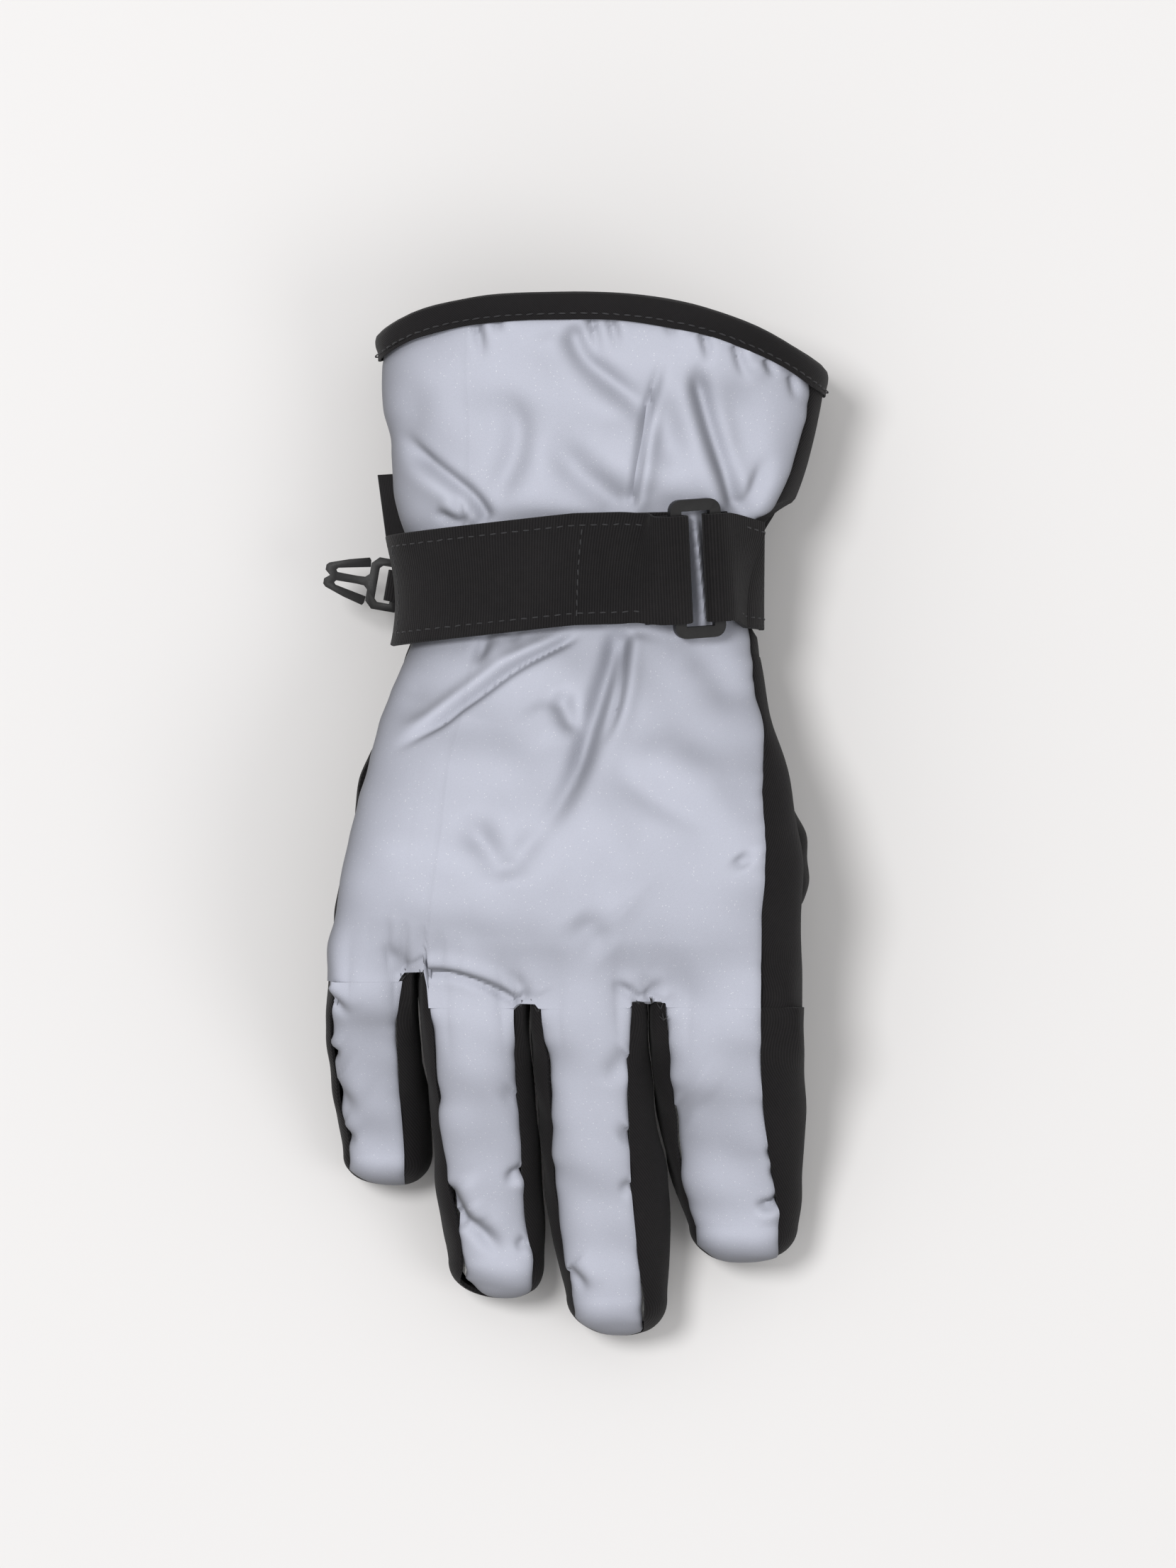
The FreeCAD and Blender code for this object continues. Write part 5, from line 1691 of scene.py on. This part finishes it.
def make_cloth(name, dark, light, pitch, depth, roughness, sheen, steepness=0.6, rub=0.35):
    """Black woven cloth: twill relief, a painted highlight on its raised threads, and rubbed dust.
    """
    tree, shader, place = new_material(name, roughness, 0.12, 0.0, sheen, viewport=dark)
    weave = place_group(tree, "Twill weave", place.outputs["UV"], Pitch=pitch,
                        Steepness=steepness)
    wear = place_group(tree, "Rub and dust", place.outputs["Object"], Amount=rub)
    # painted highlight: the raised threads of the twill are lighter, mixed with real rubbed dust
    factor = calc(tree, "MULTIPLY_ADD", weave["Thread"], 0.45, wear["Mask"])
    two_tone(tree, shader, dark, light, factor)
    link(tree, calc(tree, "MULTIPLY_ADD", weave["Thread"], -0.08, roughness + 0.04),
         shader.inputs["Roughness"])
    relief(tree, shader, weave["Height"], depth)


def make_webbing(dark, light):
    tree, shader, place = new_material("webbing", 0.78, 0.12, 0.0, 0.06, viewport=dark)
    ribs = place_group(tree, "Strap ribs", place.outputs["UV"], Pitch=0.00062)
    wear = place_group(tree, "Rub and dust", place.outputs["Object"], Scale=55.0, Amount=0.35)
    # painted shade and highlight: the ribs are lighter and the grooves between them darker, mixed
    # with real rubbed dust
    factor = calc(tree, "MULTIPLY_ADD", ribs["Groove"], 0.5, wear["Mask"])
    two_tone(tree, shader, dark, light, factor)
    link(tree, calc(tree, "MULTIPLY_ADD", ribs["Groove"], -0.1, 0.85), shader.inputs["Roughness"])
    relief(tree, shader, ribs["Height"], 0.1)


def make_fibre(name, dark, light, scale, depth, roughness, sheen):
    tree, shader, place = new_material(name, roughness, 0.2, 0.0, sheen, viewport=light)
    fibre = place_group(tree, "Brushed fibre", place.outputs["Object"], Scale=scale)
    two_tone(tree, shader, dark, light, fibre["Tone"])
    link(tree, calc(tree, "MULTIPLY_ADD", fibre["Tone"], 0.1, roughness - 0.05),
         shader.inputs["Roughness"])
    relief(tree, shader, fibre["Height"], depth)


def make_plastic():
    tree, shader, place = new_material("moulded_plastic", 0.42, 0.3, viewport=(0.02, 0.02, 0.02))
    grain = place_group(tree, "Bead grain", place.outputs["Object"], Scale=2600.0)
    wear = place_group(tree, "Rub and dust", place.outputs["Object"], Scale=120.0, Amount=0.5)
    two_tone(tree, shader, tone((0.07, 0.066, 0.068)), tone((0.13, 0.126, 0.126)), wear["Mask"])
    link(tree, calc(tree, "MULTIPLY_ADD", grain["Grain"], 0.2, 0.38), shader.inputs["Roughness"])
    relief(tree, shader, grain["Grain"], 0.03)


def make_film():
    tree, shader, place = new_material("insert_film", 0.4, 0.5, coat=0.2,
                                       viewport=(0.7, 0.72, 0.74))
    wear = place_group(tree, "Rub and dust", place.outputs["Object"], Scale=90.0, Amount=0.8)
    two_tone(tree, shader, (0.62, 0.64, 0.66), (0.78, 0.79, 0.8), wear["Mask"])
    link(tree, calc(tree, "MULTIPLY_ADD", wear["Mask"], 0.2, 0.3), shader.inputs["Roughness"])


def make_materials(settings):
    """All finishes of the glove."""
    for build in (make_weave_group, make_rib_group, make_grain_group, make_wear_group,
                  make_fleece_group):
        build()
    black, soft = tuple(settings.black), tuple(settings.black_light)
    make_reflective_fabric(tuple(settings.silver))
    make_cloth("shell_fabric", black, soft, 0.00062, 0.08, 0.82, 0.04)
    make_cloth("binding_tape", black, soft, 0.0005, 0.08, 0.7, 0.05, -0.9, 0.25)
    make_cloth("label_tape", black, soft, 0.00035, 0.04, 0.6, 0.1, 0.0)
    make_webbing(tuple(c * 0.95 for c in black), tuple(c * 1.05 for c in soft))
    make_fibre("closure_tape", black, soft, 2400.0, 0.3, 0.9, 0.2)
    make_fibre("padding", (0.6, 0.6, 0.59), (0.86, 0.86, 0.84), 500.0, 0.4, 0.95, 0.3)
    make_fibre("lining_fleece", tone((0.11, 0.11, 0.12)), tone((0.27, 0.27, 0.28)), 1100.0, 0.5,
               0.95, 0.5)
    make_cloth("elastic", (0.5, 0.5, 0.5), (0.75, 0.75, 0.75), 0.0012, 0.25, 0.75, 0.1, 0.0)
    make_cloth("thread", tone((0.17, 0.168, 0.175)), tone((0.27, 0.267, 0.275)), 0.0004, 0.03, 0.6,
               0.1)
    make_plastic()
    make_film()


# ------ stage
def make_floor(settings):
    bpy.ops.object.select_all(action="DESELECT")
    bpy.ops.mesh.primitive_plane_add(size=14.0, location=(0, 0, -0.0002))
    floor = bpy.context.object
    floor.name = "studio_floor"
    material = bpy.data.materials.new("studio_floor")
    material.use_nodes = True
    shader = material.node_tree.nodes["Principled BSDF"]
    shader.inputs["Base Color"].default_value = (*settings.floor, 1.0)
    shader.inputs["Roughness"].default_value = 0.9
    shader.inputs["Specular IOR Level"].default_value = 0.1
    floor.data.materials.append(material)


def make_world(settings):
    world = bpy.data.worlds.new("studio")
    bpy.context.scene.world = world
    world.use_nodes = True
    tree = world.node_tree
    back = tree.nodes["Background"]
    back.inputs["Color"].default_value = (1.0, 1.0, 1.0, 1.0)
    back.inputs["Strength"].default_value = settings.sky
    seen = add_node(tree, "ShaderNodeBackground",
                    inputs={"Color": (0.86, 0.86, 0.865, 1.0), "Strength": 1.0})
    path = add_node(tree, "ShaderNodeLightPath")
    direct = calc(tree, "ADD", path.outputs["Is Camera Ray"],
                  calc(tree, "ADD", calc(tree, "MULTIPLY", path.outputs["Is Glossy Ray"], 0.6),
                       path.outputs["Is Transmission Ray"]))
    mix = add_node(tree, "ShaderNodeMixShader")
    link(tree, calc(tree, "MINIMUM", direct, 1.0), mix.inputs["Fac"])
    link(tree, back.outputs[0], mix.inputs[1])
    link(tree, seen.outputs[0], mix.inputs[2])
    link(tree, mix.outputs[0], tree.nodes["World Output"].inputs["Surface"])


def make_lamp(name, place, size, power, target=(0.0, 0.0, 0.03)):
    """A round soft lamp that looks at the glove."""
    lamp = bpy.data.lights.new(name, "AREA")
    lamp.shape = "DISK"
    lamp.size = size
    lamp.energy = power
    holder = bpy.data.objects.new(name, lamp)
    bpy.context.scene.collection.objects.link(holder)
    holder.location = place
    look = Vector(target) - Vector(place)
    holder.rotation_mode = "QUATERNION"
    holder.rotation_quaternion = look.to_track_quat("-Z", "Y")


VIEW_CENTRE = (3.25, 7.57)     # the point that the camera stands over
VIEW_LONG = 356.1              # long side of the view at the height of the glove
VIEW_AT = 30.0
CAMERA_HEIGHT = 2500.0


def make_camera():
    data = bpy.data.cameras.new("overhead")
    camera = bpy.data.objects.new("overhead", data)
    bpy.context.scene.collection.objects.link(camera)
    camera.location = (VIEW_CENTRE[0] * MM, VIEW_CENTRE[1] * MM, CAMERA_HEIGHT * MM)
    data.sensor_width = 36.0
    data.lens = 36.0 * (CAMERA_HEIGHT - VIEW_AT) / VIEW_LONG
    data.clip_start, data.clip_end = 0.05, 50.0
    bpy.context.scene.camera = camera


def make_stage(settings):
    """Floor, soft studio light from the little finger's side, and the camera overhead."""
    make_floor(settings)
    make_world(settings)
    make_lamp("key_light", (-0.95, 0.62, 2.85), 0.9, settings.key)
    make_lamp("fill_light", (2.0, -0.8, 2.6), 1.6, settings.fill)
    make_camera()
    scene = bpy.context.scene
    scene.view_settings.view_transform = "Standard"


# ------ add-on
class GloveSettings(bpy.types.PropertyGroup):
    """Colours and light of the glove"""
    silver: bpy.props.FloatVectorProperty(
        name="Reflective cloth", description="Colour of the back of the glove",
        default=(0.478, 0.492, 0.567), subtype="COLOR", min=0, max=1)
    black: bpy.props.FloatVectorProperty(
        name="Black cloth", description="Deep tone of the black pieces",
        default=(0.0062, 0.0056, 0.0060), subtype="COLOR", min=0, max=1)
    black_light: bpy.props.FloatVectorProperty(
        name="Raised thread", description="Tone of the threads that catch the light",
        default=(0.018, 0.0165, 0.0172), subtype="COLOR", min=0, max=1)
    floor: bpy.props.FloatVectorProperty(
        name="Floor", description="Colour of the studio floor",
        default=(0.765, 0.752, 0.747), subtype="COLOR", min=0, max=1)
    key: bpy.props.FloatProperty(
        name="Key light", description="Power of the lamp on the little finger's side",
        default=47.0, min=0, unit="POWER")
    fill: bpy.props.FloatProperty(
        name="Fill light", description="Power of the lamp on the index side",
        default=15.0, min=0, unit="POWER")
    sky: bpy.props.FloatProperty(
        name="Room light", description="Strength of the even light of the room",
        default=0.64, min=0, max=2)


def settings_of(context):
    return context.scene.glove


class GLOVE_OT_finishes(bpy.types.Operator):
    """Makes the cloths, tapes, thread and plastic"""
    bl_idname = "glove.finishes"
    bl_label = "Finishes"

    def execute(self, context):
        make_materials(settings_of(context))
        return {"FINISHED"}


class GLOVE_OT_hand(bpy.types.Operator):
    """Builds the hand's panels, its padding, insert, lining and elastic"""
    bl_idname = "glove.hand"
    bl_label = "Hand"

    def execute(self, context):
        build_back_panel()
        build_side_panels()
        build_palm_panel()
        build_hand_layers()
        build_wrist_elastic()
        return {"FINISHED"}


class GLOVE_OT_fingers(bpy.types.Operator):
    """Builds the four fingers and the thread ends between them"""
    bl_idname = "glove.fingers"
    bl_label = "Fingers"

    def execute(self, context):
        for name in FINGERS:
            build_finger(name)
        build_web_threads()
        return {"FINISHED"}


class GLOVE_OT_thumb(bpy.types.Operator):
    """Builds the thumb and the pouch that carries it"""
    bl_idname = "glove.thumb"
    bl_label = "Thumb"

    def execute(self, context):
        build_thumb()
        build_thumb_gusset()
        return {"FINISHED"}


class GLOVE_OT_binding(bpy.types.Operator):
    """Builds the tape round the cuff's mouth and its stitches"""
    bl_idname = "glove.binding"
    bl_label = "Cuff binding"

    def execute(self, context):
        build_cuff_binding()
        build_binding_stitches()
        return {"FINISHED"}


class GLOVE_OT_strap(bpy.types.Operator):
    """Builds the wrist strap, its closure, the ring's tab and their stitches"""
    bl_idname = "glove.strap"
    bl_label = "Wrist strap"

    def execute(self, context):
        build_strap()
        return {"FINISHED"}


class GLOVE_OT_ring(bpy.types.Operator):
    """Builds the flat plastic ring"""
    bl_idname = "glove.ring"
    bl_label = "Ring"

    def execute(self, context):
        build_ring_buckle()
        return {"FINISHED"}


class GLOVE_OT_clip(bpy.types.Operator):
    """Builds the joining clip, its webbing loop and the side label"""
    bl_idname = "glove.clip"
    bl_label = "Clip and label"

    def execute(self, context):
        build_joining_clip()
        build_clip_loop()
        build_side_label()
        return {"FINISHED"}


class GLOVE_OT_stage(bpy.types.Operator):
    """Sets up the floor, the lights and the camera"""
    bl_idname = "glove.stage"
    bl_label = "Stage"

    def execute(self, context):
        make_stage(settings_of(context))
        return {"FINISHED"}


OPERATORS = (GLOVE_OT_finishes, GLOVE_OT_hand, GLOVE_OT_fingers, GLOVE_OT_thumb,
             GLOVE_OT_binding, GLOVE_OT_strap, GLOVE_OT_ring, GLOVE_OT_clip, GLOVE_OT_stage)


class GLOVE_PT_panel(bpy.types.Panel):
    """Lists the glove's pieces and colours"""
    bl_idname = "GLOVE_PT_panel"
    bl_label = "Ski Glove"
    bl_space_type = "VIEW_3D"
    bl_region_type = "UI"
    bl_category = "Glove"

    def draw(self, context):
        settings = settings_of(context)
        for name in GloveSettings.__annotations__:
            self.layout.prop(settings, name)
        for operator in OPERATORS:
            self.layout.operator(operator.bl_idname)


CLASSES = (GloveSettings, *OPERATORS, GLOVE_PT_panel)


def register():
    for item in CLASSES:
        bpy.utils.register_class(item)
    bpy.types.Scene.glove = bpy.props.PointerProperty(type=GloveSettings)


def unregister():
    del bpy.types.Scene.glove
    for item in reversed(CLASSES):
        bpy.utils.unregister_class(item)


def main():
    register()
    for operator in OPERATORS:
        getattr(bpy.ops.glove, operator.bl_idname.split(".")[1])()
    bpy.context.view_layer.update()


if __name__ == "__main__":
    main()
